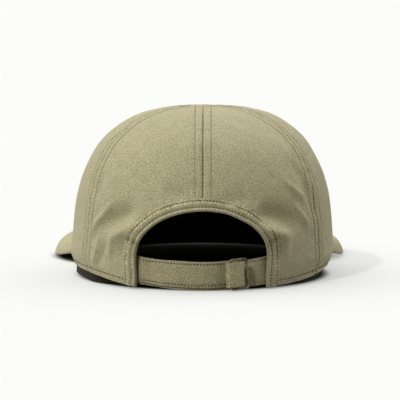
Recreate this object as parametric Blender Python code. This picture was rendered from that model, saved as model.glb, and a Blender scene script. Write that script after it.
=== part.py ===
"""A soft six-panel cotton cap with an arched back opening, a cloth strap and a slider buckle.

The crown is modelled round its own vertical axis: +Y is the visor, -Y the back, +X the wearer's right.
An empty then moves everything so that the world origin lies under the middle of the whole cap.
"""

import math

import bmesh
import bpy
from mathutils import Vector

MM = 0.001

# Clearance between pieces that touch on the real cap
CLEAR = 0.3 * MM

# Crown
CROWN_WIDTH = 173 * MM
CROWN_BACK_REACH = 97 * MM
CROWN_FRONT_REACH = 100 * MM
CROWN_TOP = 111.7 * MM
WIDEST_Z = 8.5 * MM
CROWN_FULLNESS = 2.8
RIM_BACK_Z = 0.7 * MM
RIM_SIDE_Z = 7.6 * MM
RIM_BACK_ROUNDNESS = 3
RIM_TUCK = 0.6 * MM
PANEL_CLOTH = 1.0 * MM
SEAM_ANGLES = [-90, -30, 30, 90, 150, 210, 270]

# Tapes over the seams, inside the crown
TAPE_WIDTH = 12 * MM
TAPE_CLOTH = 0.6 * MM
TAPE_RIM_GAP = 1.0 * MM
TAPE_TOP_RADIUS = 5.5 * MM
TAPE_POINT_ANGLE = 24

# Button and its rivet
BUTTON_DIAMETER = 13 * MM
BUTTON_HEIGHT = 1.8 * MM
BUTTON_FLAT_RADIUS = 1.0 * MM
BUTTON_ROUNDNESS = 0.6
BUTTON_HOLE_RADIUS = 3.2 * MM
RIVET_SHANK_RADIUS = 1.6 * MM
RIVET_WASHER_RADIUS = 6 * MM
RIVET_WASHER_THICK = 0.7 * MM

# Back opening and its binding
ARCH_HALF_WIDTH = 41 * MM
ARCH_SPRING_Z = 18.8 * MM
ARCH_RISE = 31.4 * MM
ARCH_CUT_OUT = 40 * MM
ARCH_CUT_IN = 60 * MM
ARCH_CUT_BELOW = 10 * MM
BINDING_WIDTH = 8.0 * MM
BINDING_CLOTH = 0.8 * MM
BINDING_EASE = 0.5 * MM

# Sweatband
SWEATBAND_FRONT_Z = 5 * MM
SWEATBAND_RISE = 26 * MM
SWEATBAND_CLOTH = 1.2 * MM
SWEATBAND_END_SHOWS = 1.8 * MM
SWEATBAND_EASE = 18 * MM

# Visor
VISOR_REACH = 172 * MM
VISOR_WIDTH = 205.5 * MM
VISOR_WIDEST_Y = 110 * MM
VISOR_FRONT_FULLNESS = 2.15
VISOR_HALF_ANGLE = 58
VISOR_CORNER_START = 80
VISOR_TURN = 1.4
VISOR_TILT = 1.4
VISOR_SIDE_FALL = 13 * MM
VISOR_SIDE_FULLNESS = 5
VISOR_FRONT_DROOP = 4 * MM
VISOR_LIFT = 0.1 * MM
VISOR_COVER = 0.8 * MM
VISOR_BOARD = 1.8 * MM
VISOR_LIP = 1.0 * MM
VISOR_LIP_EASE = 0.1 * MM
VISOR_TUCK = 1.5 * MM
RIM_LIFT_ANGLE = 25

# Straps
STRAP_WIDTH = 15.8 * MM
STRAP_CLOTH = 0.8 * MM
STRAP_BOTTOM = 2.0 * MM
STRAP_SET_IN = 4.6 * MM
STRAP_RADIUS = 65 * MM
STRAP_TILT = 12
STRAP_END = 53 * MM
STRAP_TAIL_END = 44 * MM
STRAP_TAIL_DROP = 0.8 * MM

# Buckle and the sewn fold that holds it
BUCKLE_ROD = 1.6 * MM
BUCKLE_LENGTH = 12.6 * MM
BUCKLE_CORNER = 3.2 * MM
BUCKLE_CENTRE_BAR = 23.2 * MM
BUCKLE_BAR_TO_RIGHT = 4.2 * MM
BUCKLE_TILT_ROOM = 1.0 * MM
BUCKLE_BAR_NARROWING = 0.95
FOLD_CLOTH = 0.6 * MM
FOLD_LENGTH = 10.6 * MM
FOLD_SEAM = 1.4 * MM

# Mesh steps
EVEN_ROWS_Z = 25 * MM
SHARP_ANGLE = 40
EMPTY_SIZE = 10 * MM
PANEL_COLUMNS = 8
BACK_PANEL_COLUMNS = 12
RIM_ROWS = 3
DOME_ROWS = 10
TAPE_COLUMNS = 4
ARCH_STEPS = 28
ARCH_SIDE_STEPS = 4
SWEATBAND_COLUMNS = 76
SWEATBAND_ROWS = 3
VISOR_LOBE_STEPS = 7
VISOR_FRONT_STEPS = 26
VISOR_ROWS = 5
STRAP_COLUMNS = 30
FOLD_STEPS = 4
TURN_STEPS = 6
ROD_SIDES = 8
BUTTON_SIDES = 28
BUTTON_ROWS = 5

# Depths below the crown's outer face, and heights above the strap's inner face
TAPE_DEPTH = PANEL_CLOTH + CLEAR
SWEATBAND_DEPTH = TAPE_DEPTH + TAPE_CLOTH + CLEAR
BINDING_EDGE = BINDING_CLOTH + CLEAR
BINDING_INNER = PANEL_CLOTH + BINDING_EASE
VISOR_BOARD_DEPTH = VISOR_COVER + CLEAR
VISOR_UNDER_DEPTH = VISOR_BOARD_DEPTH + VISOR_BOARD + CLEAR
VISOR_STACK = VISOR_UNDER_DEPTH + VISOR_COVER
STRAP_OUTER = STRAP_CLOTH + CLEAR
FOLD_BACK = STRAP_OUTER + STRAP_CLOTH + CLEAR
BUCKLE_HEIGHT = FOLD_BACK + FOLD_CLOTH + CLEAR + BUCKLE_TILT_ROOM + BUCKLE_ROD / 2
FOLD_FRONT = BUCKLE_HEIGHT + BUCKLE_ROD / 2 + CLEAR
FOLD_TOP = FOLD_FRONT + FOLD_CLOTH


def smooth(share):
    """An S-curve from 0 to 1."""
    share = min(max(share, 0.0), 1.0)
    return share * share * (3 - 2 * share)


def mix(start, end, share):
    return start + (end - start) * share


def steps(start, end, count):
    """count + 1 even values from start to end."""
    return [mix(start, end, index / count) for index in range(count + 1)]


# Crown surface


def crown_profile(z):
    """The plan's share of its widest size at height z, and how fast that share grows with z."""
    if z <= WIDEST_Z:
        tuck = RIM_TUCK / (CROWN_WIDTH / 2)
        below = (WIDEST_Z - z) / (WIDEST_Z - RIM_BACK_Z)
        return 1 - tuck * below**2, 2 * tuck * below / (WIDEST_Z - RIM_BACK_Z)
    height = CROWN_TOP - WIDEST_Z
    rise = (z - WIDEST_Z) / height
    rest = 1 - rise**CROWN_FULLNESS
    scale = rest ** (1 / CROWN_FULLNESS)
    slope = -(rise ** (CROWN_FULLNESS - 1)) * rest ** (1 / CROWN_FULLNESS - 1) / height
    return scale, slope


def dome_height(scale):
    """The height at which the dome's plan has this share of its widest size."""
    rise = (1 - scale**CROWN_FULLNESS) ** (1 / CROWN_FULLNESS)
    return mix(WIDEST_Z, CROWN_TOP, rise)


def crown_reach(angle):
    return CROWN_FRONT_REACH if math.sin(angle) > 0 else CROWN_BACK_REACH


def crown_point(angle, z, depth):
    """A point at this depth below the crown's outer face."""
    half = CROWN_WIDTH / 2
    reach = crown_reach(angle)
    scale, slope = crown_profile(z)
    outward = Vector((math.cos(angle) / half, math.sin(angle) / reach, -slope)).normalized()
    surface = Vector((half * scale * math.cos(angle), reach * scale * math.sin(angle), z))
    return surface - outward * depth


def back_angle(x, z):
    """The angle at which the back of the crown passes x at height z."""
    scale, _ = crown_profile(z)
    return -math.acos(x / (CROWN_WIDTH / 2 * scale))


def seam_side(angle):
    """The level direction across a seam, toward greater angles."""
    across = Vector((-crown_reach(angle) * math.sin(angle), CROWN_WIDTH / 2 * math.cos(angle), 0))
    return across.normalized()


def dome_rows(top_radius):
    """Heights of the dome's rows, from its lowest level row up to a hole of this radius."""
    low_scale, _ = crown_profile(EVEN_ROWS_Z)
    low_turn = math.acos(low_scale ** (CROWN_FULLNESS / 2))
    top_scale = top_radius / (CROWN_WIDTH / 2)
    top_turn = math.acos(top_scale ** (CROWN_FULLNESS / 2))
    scales = [math.cos(turn) ** (2 / CROWN_FULLNESS) for turn in steps(low_turn, top_turn, DOME_ROWS)]
    return [dome_height(scale) for scale in scales]


# Visor surface


def visor_turned(x, y):
    """Plan coordinates along the visor's own axes, which sit a little turned on the crown."""
    turn = math.radians(VISOR_TURN)
    return (
        x * math.cos(turn) + y * math.sin(turn),
        y * math.cos(turn) - x * math.sin(turn),
    )


def visor_fall(x, y):
    """How far the visor's top lies below the height of its root at the front."""
    side, forward = visor_turned(x, y)
    share = abs(side) / (VISOR_WIDTH / 2)
    ahead = forward - CROWN_FRONT_REACH
    arch = VISOR_SIDE_FALL * share**VISOR_SIDE_FULLNESS
    rise = math.tan(math.radians(VISOR_TILT)) * ahead
    ahead_share = max(ahead, 0) / (VISOR_REACH - CROWN_FRONT_REACH)
    droop = VISOR_FRONT_DROOP * ahead_share**2 * (1 - share**2)
    return arch - rise + droop


def visor_angle(share):
    """The crown angle where the visor's root is, from one corner to the other."""
    front = 90 + VISOR_TURN
    return math.radians(mix(front - VISOR_HALF_ANGLE, front + VISOR_HALF_ANGLE, share))


def visor_corner():
    corner = crown_point(visor_angle(0), WIDEST_Z, 0)
    return visor_turned(corner.x, corner.y)


def visor_top(x, y):
    return VISOR_ROOT_Z - visor_fall(x, y)


def from_front(angle):
    """The angle as counted from the visor's middle."""
    return math.remainder(angle - math.radians(90 + VISOR_TURN), math.tau)


def visor_share(angle):
    """1 along the visor's root, easing to 0 beside it."""
    beside = abs(from_front(angle)) - math.radians(VISOR_HALF_ANGLE)
    return smooth(1 - beside / math.radians(RIM_LIFT_ANGLE))


def free_rim_z(angle):
    """Height of the crown's lower edge away from the visor: lowest at the back."""
    toward_side = abs(math.cos(angle)) if math.sin(angle) < 0 else 1.0
    return mix(RIM_BACK_Z, RIM_SIDE_Z, toward_side**RIM_BACK_ROUNDNESS)


def rim_z(angle):
    """Height of the crown's lower edge, which lifts over the visor."""
    half = math.radians(VISOR_HALF_ANGLE)
    on_visor = min(max(from_front(angle), -half), half) + math.radians(90 + VISOR_TURN)
    root = crown_point(on_visor, WIDEST_Z, 0)
    return mix(free_rim_z(angle), visor_top(root.x, root.y) + CLEAR, visor_share(angle))


def visor_outline():
    """Plan points round the visor's edge, from its right corner over the front to its left corner."""
    half = VISOR_WIDTH / 2
    corner_x, corner_y = visor_corner()
    lobe = []
    for turn in steps(-VISOR_CORNER_START, 0, VISOR_LOBE_STEPS):
        turn = math.radians(turn)
        x = corner_x + (half - corner_x) * math.cos(turn)
        y = VISOR_WIDEST_Y + (VISOR_WIDEST_Y - corner_y) * math.sin(turn)
        lobe.append((x, y))
    front = []
    for turn in steps(0, math.pi, VISOR_FRONT_STEPS):
        power = 2 / VISOR_FRONT_FULLNESS
        x = half * math.copysign(abs(math.cos(turn)) ** power, math.cos(turn))
        y = VISOR_WIDEST_Y + (VISOR_REACH - VISOR_WIDEST_Y) * math.sin(turn) ** power
        front.append((x, y))
    other_lobe = [(-x, y) for x, y in reversed(lobe)]
    turn = math.radians(VISOR_TURN)
    return [
        (x * math.cos(turn) - y * math.sin(turn), x * math.sin(turn) + y * math.cos(turn))
        for x, y in lobe[:-1] + front + other_lobe[1:]
    ]


def visor_root_z():
    """The root's height, which leaves the lowest of the visor's edge just above the ground."""
    return VISOR_LIFT + VISOR_STACK + max(visor_fall(x, y) for x, y in visor_outline())


VISOR_ROOT_Z = visor_root_z()


def visor_columns():
    """Pairs of plan points across the visor: on its root under the crown, and on its edge."""
    edge = visor_outline()
    lengths = [0.0]
    for (x0, y0), (x1, y1) in zip(edge, edge[1:]):
        lengths.append(lengths[-1] + math.hypot(x1 - x0, y1 - y0))
    columns = []
    for (x, y), length in zip(edge, lengths):
        angle = visor_angle(length / lengths[-1])
        root = crown_point(angle, rim_z(angle), VISOR_TUCK)
        columns.append((Vector((root.x, root.y)), Vector((x, y))))
    return columns


# Strap surface: part of a cone round a leaning axis, so that what slides along it stays clear


def strap_axis():
    lean = math.radians(STRAP_TILT)
    return Vector((0, -math.sin(lean), math.cos(lean)))


def strap_back():
    lean = math.radians(STRAP_TILT)
    return Vector((0, -math.cos(lean), -math.sin(lean)))


def strap_centre():
    """The point on the axis that is level with the strap's lower edge, along its own lean."""
    return Vector((0, STRAP_SET_IN - CROWN_BACK_REACH, STRAP_BOTTOM)) - strap_back() * STRAP_RADIUS


def strap_point(along, up, height):
    """along: round the strap from the middle, up: across its width, height: off its inner face."""
    lean = math.radians(STRAP_TILT)
    turn = along / STRAP_RADIUS
    radius = STRAP_RADIUS - up * math.sin(lean) + height * math.cos(lean)
    outward = Vector((math.sin(turn), 0, 0)) + strap_back() * math.cos(turn)
    level = up * math.cos(lean) + height * math.sin(lean)
    return strap_centre() + strap_axis() * level + outward * radius


# Arch outline


def arch_stations():
    """Points up one side of the opening, over its top and down the other, with the way out of it."""
    foot_z = rim_z(back_angle(ARCH_HALF_WIDTH, WIDEST_Z))
    stations = []
    for z in steps(foot_z, ARCH_SPRING_Z, ARCH_SIDE_STEPS)[:-1]:
        stations.append((Vector((-ARCH_HALF_WIDTH, z)), Vector((-1, 0))))
    for turn in steps(math.pi, 0, ARCH_STEPS):
        point = Vector((ARCH_HALF_WIDTH * math.cos(turn), ARCH_SPRING_Z + ARCH_RISE * math.sin(turn)))
        way_out = Vector((math.cos(turn) / ARCH_HALF_WIDTH, math.sin(turn) / ARCH_RISE))
        stations.append((point, way_out.normalized()))
    for z in steps(ARCH_SPRING_Z, foot_z, ARCH_SIDE_STEPS)[1:]:
        stations.append((Vector((ARCH_HALF_WIDTH, z)), Vector((1, 0))))
    return stations


# Mesh builders


def finish_object(name, mesh_data, material, origin=Vector((0, 0, 0))):
    """Turns a bmesh into a named object whose own origin is at this point."""
    bmesh.ops.recalc_face_normals(mesh_data, faces=mesh_data.faces)
    bmesh.ops.translate(mesh_data, verts=mesh_data.verts, vec=-origin)
    mesh = bpy.data.meshes.new(name)
    mesh_data.to_mesh(mesh)
    mesh_data.free()
    mesh.shade_smooth()
    mesh.set_sharp_from_angle(angle=math.radians(SHARP_ANGLE))
    obj = bpy.data.objects.new(name, mesh)
    obj.location = origin
    bpy.context.scene.collection.objects.link(obj)
    if material:
        mesh.materials.append(material)
    return obj


def slab(name, columns, rows, place, material):
    """A sheet with thickness: place(column, row, side) gives its points, side 0 or 1."""
    mesh_data = bmesh.new()
    sides = []
    for side in (0, 1):
        grid = []
        for column in range(columns + 1):
            points = [place(column, row, side) for row in range(rows + 1)]
            grid.append([mesh_data.verts.new(point) for point in points])
        sides.append(grid)
    for grid in sides:
        for a, b in zip(grid, grid[1:]):
            for row in range(rows):
                mesh_data.faces.new((a[row], a[row + 1], b[row + 1], b[row]))
    front, back = sides
    for column in range(columns):
        for row in (0, rows):
            mesh_data.faces.new(
                (front[column][row], front[column + 1][row], back[column + 1][row], back[column][row])
            )
    for row in range(rows):
        for column in (0, columns):
            mesh_data.faces.new(
                (front[column][row], front[column][row + 1], back[column][row + 1], back[column][row])
            )
    return finish_object(name, mesh_data, material)


def sweep(name, sections, closed, material, origin=Vector((0, 0, 0))):
    """Joins sections of equal point counts, end to end or in a ring."""
    mesh_data = bmesh.new()
    rings = [[mesh_data.verts.new(point) for point in section] for section in sections]
    pairs = list(zip(rings, rings[1:] + rings[:1])) if closed else list(zip(rings, rings[1:]))
    for ring, following in pairs:
        for index in range(len(ring)):
            after = (index + 1) % len(ring)
            mesh_data.faces.new((ring[index], ring[after], following[after], following[index]))
    if not closed:
        mesh_data.faces.new(rings[0])
        mesh_data.faces.new(rings[-1])
    return finish_object(name, mesh_data, material, origin)


def turned(name, profile, sides, material):
    """A round solid about the crown's axis, from (radius, height) points, with flat ends."""
    rings = []
    for radius, z in profile:
        turns = steps(0, math.tau, sides)[:-1]
        rings.append([Vector((radius * math.cos(turn), radius * math.sin(turn), z)) for turn in turns])
    return sweep(name, rings, False, material)


def make_material(name, colour, roughness, metallic=0.0):
    material = bpy.data.materials.new(name)
    material.use_nodes = True
    shader = material.node_tree.nodes["Principled BSDF"]
    shader.inputs["Base Color"].default_value = (*colour, 1)
    shader.inputs["Roughness"].default_value = roughness
    shader.inputs["Metallic"].default_value = metallic
    return material


def add_boolean(obj, other, operation):
    """Cuts with or joins a helper, which then stays out of sight."""
    modifier = obj.modifiers.new(operation.lower(), "BOOLEAN")
    modifier.operation = operation
    modifier.solver = "EXACT"
    modifier.object = other
    other.hide_render = True
    other.display_type = "WIRE"


# Sub-parts


def make_panel(name, start, end, columns, material):
    """One of the crown's six panels, between two seams."""
    angles = [math.radians(angle) for angle in steps(start, end, columns)]
    dome = dome_rows(BUTTON_HOLE_RADIUS)

    def place(column, row, side):
        angle = angles[column]
        if row < RIM_ROWS:
            z = mix(rim_z(angle), EVEN_ROWS_Z, row / RIM_ROWS)
        else:
            z = dome[row - RIM_ROWS]
        point = crown_point(angle, z, side * PANEL_CLOTH)
        if column == 0:
            point += seam_side(angle) * CLEAR / 2
        if column == columns:
            point -= seam_side(angle) * CLEAR / 2
        return point

    return slab(name, columns, RIM_ROWS + DOME_ROWS, place, material)


def make_arch_cutter():
    """A prism through the back of the crown, as wide as the opening and the binding's edge."""
    outline = [point + way_out * BINDING_EDGE for point, way_out in arch_stations()]
    below = Vector((0, ARCH_CUT_BELOW))
    outline = [outline[0] - below] + outline[1:-1] + [outline[-1] - below]
    sections = [
        [Vector((point.x, y, point.y)) for point in outline]
        for y in (-CROWN_BACK_REACH - ARCH_CUT_OUT, -CROWN_BACK_REACH + ARCH_CUT_IN)
    ]
    return sweep("arch_cutter", sections, False, None)


def make_tape(name, seam, material):
    """A tape under one seam, narrowing to a point under the button."""
    middle = math.radians(seam)
    over_arch = ARCH_SPRING_Z + ARCH_RISE + BINDING_WIDTH + CLEAR
    low = over_arch if seam == SEAM_ANGLES[0] else rim_z(middle) + TAPE_RIM_GAP
    across = math.hypot(CROWN_WIDTH / 2 * math.cos(middle), crown_reach(middle) * math.sin(middle))
    high = dome_height(TAPE_TOP_RADIUS / across)
    heights = [low] + [z for z in dome_rows(BUTTON_HOLE_RADIUS) if low + TAPE_CLOTH < z < high] + [high]
    turning = math.hypot(CROWN_WIDTH / 2 * math.sin(middle), crown_reach(middle) * math.cos(middle))

    def place(column, row, side):
        scale, _ = crown_profile(heights[row])
        point_width = across * scale * math.tan(math.radians(TAPE_POINT_ANGLE))
        half = min(TAPE_WIDTH / 2, point_width)
        aside = mix(-half, half, column / TAPE_COLUMNS) / (turning * scale)
        return crown_point(middle + aside, heights[row], TAPE_DEPTH + side * TAPE_CLOTH)

    return slab(name, TAPE_COLUMNS, len(heights) - 1, place, material)


def make_binding(material):
    """Folded cloth round the edge of the back opening: an outer leg, an edge and an inner leg."""
    inner = BINDING_INNER
    section = [
        (BINDING_WIDTH, BINDING_EASE + BINDING_CLOTH),
        (0, BINDING_EASE + BINDING_CLOTH),
        (0, -inner - BINDING_CLOTH),
        (BINDING_WIDTH, -inner - BINDING_CLOTH),
        (BINDING_WIDTH, -inner),
        (BINDING_CLOTH, -inner),
        (BINDING_CLOTH, BINDING_EASE),
        (BINDING_WIDTH, BINDING_EASE),
    ]
    sections = []
    for point, way_out in arch_stations():
        ring = []
        for out, height in section:
            x, z = point + way_out * out
            ring.append(crown_point(back_angle(x, z), z, -height))
        sections.append(ring)
    return sweep("arch_binding", sections, False, material)


def strap_end_depth():
    """How far the strap's sewn end lies below the crown's outer face, at its upper edge."""
    end = strap_point(STRAP_END, STRAP_WIDTH, 0)
    angle = back_angle(end.x, end.z)
    outward = (crown_point(angle, end.z, 0) - crown_point(angle, end.z, CLEAR)).normalized()
    return (crown_point(angle, end.z, 0) - end).dot(outward)


def sweatband_depth(angle):
    """Depth of the band's outer face: its ends lie behind the straps that are sewn in there."""
    point = crown_point(angle, WIDEST_Z, 0)
    if point.y > 0:
        return SWEATBAND_DEPTH
    behind_strap = strap_end_depth() + 2 * CLEAR
    past_strap = abs(point.x) - strap_point(STRAP_END, 0, 0).x - behind_strap
    return mix(behind_strap, SWEATBAND_DEPTH, smooth(past_strap / SWEATBAND_EASE))


def make_sweatband(material):
    """The band inside the rim, open where the back opening is. The cap stands on its lower edge."""
    end = back_angle(ARCH_HALF_WIDTH - SWEATBAND_END_SHOWS, WIDEST_Z)
    angles = steps(end, math.pi - end, SWEATBAND_COLUMNS)

    def place(column, row, side):
        angle = angles[column]
        low = SWEATBAND_FRONT_Z * visor_share(angle)
        z = mix(low, rim_z(angle) + SWEATBAND_RISE, row / SWEATBAND_ROWS)
        depth = sweatband_depth(angle) + side * SWEATBAND_CLOTH
        level = crown_point(angle, z, depth)
        return Vector((level.x, level.y, z))

    return slab("sweatband", SWEATBAND_COLUMNS, SWEATBAND_ROWS, place, material)


def make_visor_layer(name, shares, depths, material):
    """A visor layer: shares(length) are its rows from root to edge, depths its two faces at each row."""
    columns = visor_columns()

    def place(column, row, side):
        root, edge = columns[column]
        share = shares((edge - root).length)[row]
        x, y = mix(root, edge, share)
        return Vector((x, y, visor_top(x, y) - depths[row][side]))

    return slab(name, len(columns) - 1, len(depths) - 1, place, material)


def make_visor(cover, under, board):
    """Board between two covers. The top cover turns down round the board's edge."""
    lip = VISOR_LIP + VISOR_LIP_EASE

    def covered(length):
        return steps(0, 1 - lip / length, VISOR_ROWS) + [1 - VISOR_LIP / length, 1]

    def plain(length):
        return steps(0, 1, VISOR_ROWS)

    def inside(length):
        return steps(0, 1 - (lip + CLEAR) / length, VISOR_ROWS)

    flat_rows = [(0, VISOR_COVER)] * (VISOR_ROWS + 1)
    lip_rows = [(0, VISOR_UNDER_DEPTH - CLEAR)] * 2
    board_rows = [(VISOR_BOARD_DEPTH, VISOR_BOARD_DEPTH + VISOR_BOARD)] * (VISOR_ROWS + 1)
    under_rows = [(VISOR_UNDER_DEPTH, VISOR_STACK)] * (VISOR_ROWS + 1)
    return [
        make_visor_layer("visor_top_cover", covered, flat_rows + lip_rows, cover),
        make_visor_layer("visor_board", inside, board_rows, board),
        make_visor_layer("visor_under_cover", plain, under_rows, under),
    ]


def make_strap(name, start, end, drop, height, material):
    """One layer of the back strap."""
    alongs = steps(start, end, STRAP_COLUMNS)

    def place(column, row, side):
        up = mix(-drop, STRAP_WIDTH - drop, row)
        return strap_point(alongs[column], up, height + side * STRAP_CLOTH)

    return slab(name, STRAP_COLUMNS, 1, place, material)


def fold_right():
    return BUCKLE_CENTRE_BAR + BUCKLE_ROD / 2 + CLEAR


def fold_left():
    return fold_right() - FOLD_LENGTH


def make_fold(material, origin):
    """The strap's sewn end: a flat cloth tube round the buckle's centre bar, closed by its seam."""
    right = fold_right()
    left = fold_left()
    low = FOLD_BACK
    middle = (FOLD_BACK + FOLD_TOP) / 2
    half = (FOLD_TOP - FOLD_BACK) / 2

    def loop(start, grow):
        """Along the front, round the right end and back along the rear, moved in by grow."""
        bulge = half - grow
        points = [(along, FOLD_TOP - grow) for along in steps(start, right, FOLD_STEPS)]
        for turn in steps(math.pi / 2, -math.pi / 2, TURN_STEPS)[1:-1]:
            points.append((right + FOLD_CLOTH * math.cos(turn) * bulge / half, middle + bulge * math.sin(turn)))
        points += [(along, low + grow) for along in steps(right, start, FOLD_STEPS)]
        return points

    sections = []
    for (along, height), (inner_along, inner_height) in zip(loop(left, 0), loop(left + FOLD_SEAM, FOLD_CLOTH)):
        sections.append([
            strap_point(along, 0, height),
            strap_point(along, STRAP_WIDTH, height),
            strap_point(inner_along, STRAP_WIDTH, inner_height),
            strap_point(inner_along, 0, inner_height),
        ])
    return sweep("strap_fold", sections, True, material, origin)


def rod_ring(along, up, side):
    """A ring of points round the buckle's wire, which lies at (along, up); side points across it."""
    ring = []
    for turn in steps(0, math.tau, ROD_SIDES)[:-1]:
        out = side * math.cos(turn) * BUCKLE_ROD / 2
        height = BUCKLE_HEIGHT + math.sin(turn) * BUCKLE_ROD / 2
        ring.append(strap_point(along + out.x, up + out.y, height))
    return ring


def make_buckle(material, origin):
    """A slider of bent wire: a rounded frame with a bar across it."""
    right = BUCKLE_CENTRE_BAR + BUCKLE_BAR_TO_RIGHT
    left = right - BUCKLE_LENGTH + BUCKLE_ROD
    reach = CLEAR + BUCKLE_ROD / 2
    corners = [
        (right - BUCKLE_CORNER, STRAP_WIDTH + reach - BUCKLE_CORNER, 0),
        (left + BUCKLE_CORNER, STRAP_WIDTH + reach - BUCKLE_CORNER, 90),
        (left + BUCKLE_CORNER, BUCKLE_CORNER - reach, 180),
        (right - BUCKLE_CORNER, BUCKLE_CORNER - reach, 270),
    ]
    sections = []
    for along, up, start in corners:
        for turn in steps(math.radians(start), math.radians(start + 90), TURN_STEPS):
            side = Vector((math.cos(turn), math.sin(turn)))
            sections.append(rod_ring(along + side.x * BUCKLE_CORNER, up + side.y * BUCKLE_CORNER, side))
    frame = sweep("buckle_frame", sections, True, material, origin)
    across = Vector((BUCKLE_BAR_NARROWING, 0))
    bar_ends = [rod_ring(BUCKLE_CENTRE_BAR, up, across) for up in (-reach, STRAP_WIDTH + reach)]
    bar = sweep("buckle_bar", bar_ends, False, None, origin)
    add_boolean(frame, bar, "UNION")
    return frame, bar


def make_button(material):
    """A low covered button over the point where the panels meet."""
    radius = BUTTON_DIAMETER / 2
    base = CROWN_TOP + CLEAR
    profile = [(radius, base)]
    for turn in steps(0, math.pi / 2, BUTTON_ROWS)[1:-1]:
        profile.append((radius * math.cos(turn) ** BUTTON_ROUNDNESS, base + BUTTON_HEIGHT * math.sin(turn)))
    profile.append((BUTTON_FLAT_RADIUS, base + BUTTON_HEIGHT))
    return turned("top_button", profile, BUTTON_SIDES, material)


def make_rivet(material):
    """The rivet that holds the button: a shank through the panels and a washer under the tapes."""
    washer_top = CROWN_TOP - TAPE_DEPTH - TAPE_CLOTH - CLEAR
    profile = [
        (RIVET_WASHER_RADIUS, washer_top - RIVET_WASHER_THICK),
        (RIVET_WASHER_RADIUS, washer_top),
        (RIVET_SHANK_RADIUS, washer_top),
        (RIVET_SHANK_RADIUS, CROWN_TOP),
    ]
    return turned("button_rivet", profile, BUTTON_SIDES, material)


def cap_offset():
    """Moves the middle of the cap's plan to the world's origin."""
    outline = visor_outline()
    left = min(x for x, _ in outline)
    right = max(x for x, _ in outline)
    front = max(y for _, y in outline)
    fold = min(strap_point(fold_left(), up, FOLD_TOP).y for up in (0, STRAP_WIDTH))
    arch_top = ARCH_SPRING_Z + ARCH_RISE
    binding = crown_point(back_angle(0, arch_top), arch_top, -BINDING_EASE - BINDING_CLOTH).y
    return Vector((-(left + right) / 2, -(front + min(fold, binding)) / 2, 0))


def add_empty(name, place, parent):
    empty = bpy.data.objects.new(name, None)
    empty.empty_display_size = EMPTY_SIZE
    empty.location = place
    empty.parent = parent
    bpy.context.scene.collection.objects.link(empty)
    return empty


def main():
    for obj in list(bpy.data.objects):
        bpy.data.objects.remove(obj)
    twill = make_material("khaki_twill", (0.42, 0.37, 0.23), 0.9)
    strap_twill = make_material("strap_twill", (0.44, 0.39, 0.25), 0.9)
    tape_cloth = make_material("tape_cotton", (0.30, 0.27, 0.17), 0.95)
    band_cloth = make_material("sweatband_cotton", (0.07, 0.07, 0.045), 0.95)
    board_plastic = make_material("visor_board_plastic", (0.75, 0.75, 0.72), 0.5)
    brass = make_material("antique_brass", (0.36, 0.27, 0.14), 0.4, 1.0)

    cap = add_empty("cap_middle", cap_offset(), None)
    pieces = []
    panel_names = [
        "panel_back_right", "panel_side_right", "panel_front_right",
        "panel_front_left", "panel_side_left", "panel_back_left",
    ]
    cutter = make_arch_cutter()
    for name, start, end in zip(panel_names, SEAM_ANGLES, SEAM_ANGLES[1:]):
        at_back = name.startswith("panel_back")
        panel = make_panel(name, start, end, BACK_PANEL_COLUMNS if at_back else PANEL_COLUMNS, twill)
        if at_back:
            add_boolean(panel, cutter, "DIFFERENCE")
        pieces.append(panel)
    tape_names = [
        "seam_tape_back", "seam_tape_side_back_right", "seam_tape_side_front_right",
        "seam_tape_front", "seam_tape_side_front_left", "seam_tape_side_back_left",
    ]
    pieces += [make_tape(name, seam, tape_cloth) for name, seam in zip(tape_names, SEAM_ANGLES)]
    pieces += [cutter, make_binding(twill), make_sweatband(band_cloth)]
    pieces += make_visor(twill, twill, board_plastic)
    pieces += [make_button(twill), make_rivet(brass)]
    pieces.append(make_strap("strap_left", -STRAP_END, BUCKLE_CENTRE_BAR, 0, STRAP_OUTER, strap_twill))
    pieces.append(make_strap("strap_right", -STRAP_TAIL_END, STRAP_END, STRAP_TAIL_DROP, 0, strap_twill))
    for piece in pieces:
        piece.parent = cap

    slide_axis = add_empty("buckle_slide_axis", strap_centre(), cap)
    fold = make_fold(strap_twill, strap_centre())
    bar_middle = strap_point(BUCKLE_CENTRE_BAR, STRAP_WIDTH / 2, BUCKLE_HEIGHT)
    frame, bar = make_buckle(brass, bar_middle)
    for piece in (fold, frame, bar):
        piece.parent = slide_axis
        piece.location -= strap_centre()


main()
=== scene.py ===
# %% [markdown]
# # A soft six-panel cap, seen from behind
# A plain CAD model gives every piece of the cap its place. This lesson dresses those pieces as real sewn
# cloth and metal: panels with folds and puckered seams, a bound opening, an adjustable strap and a small
# brass slider. Lengths are written in millimetres round the crown's upright axis, because that is how a
# cap is measured, and are turned into metres only when a mesh is made.

# %% Load the frame
import itertools
import math

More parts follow.
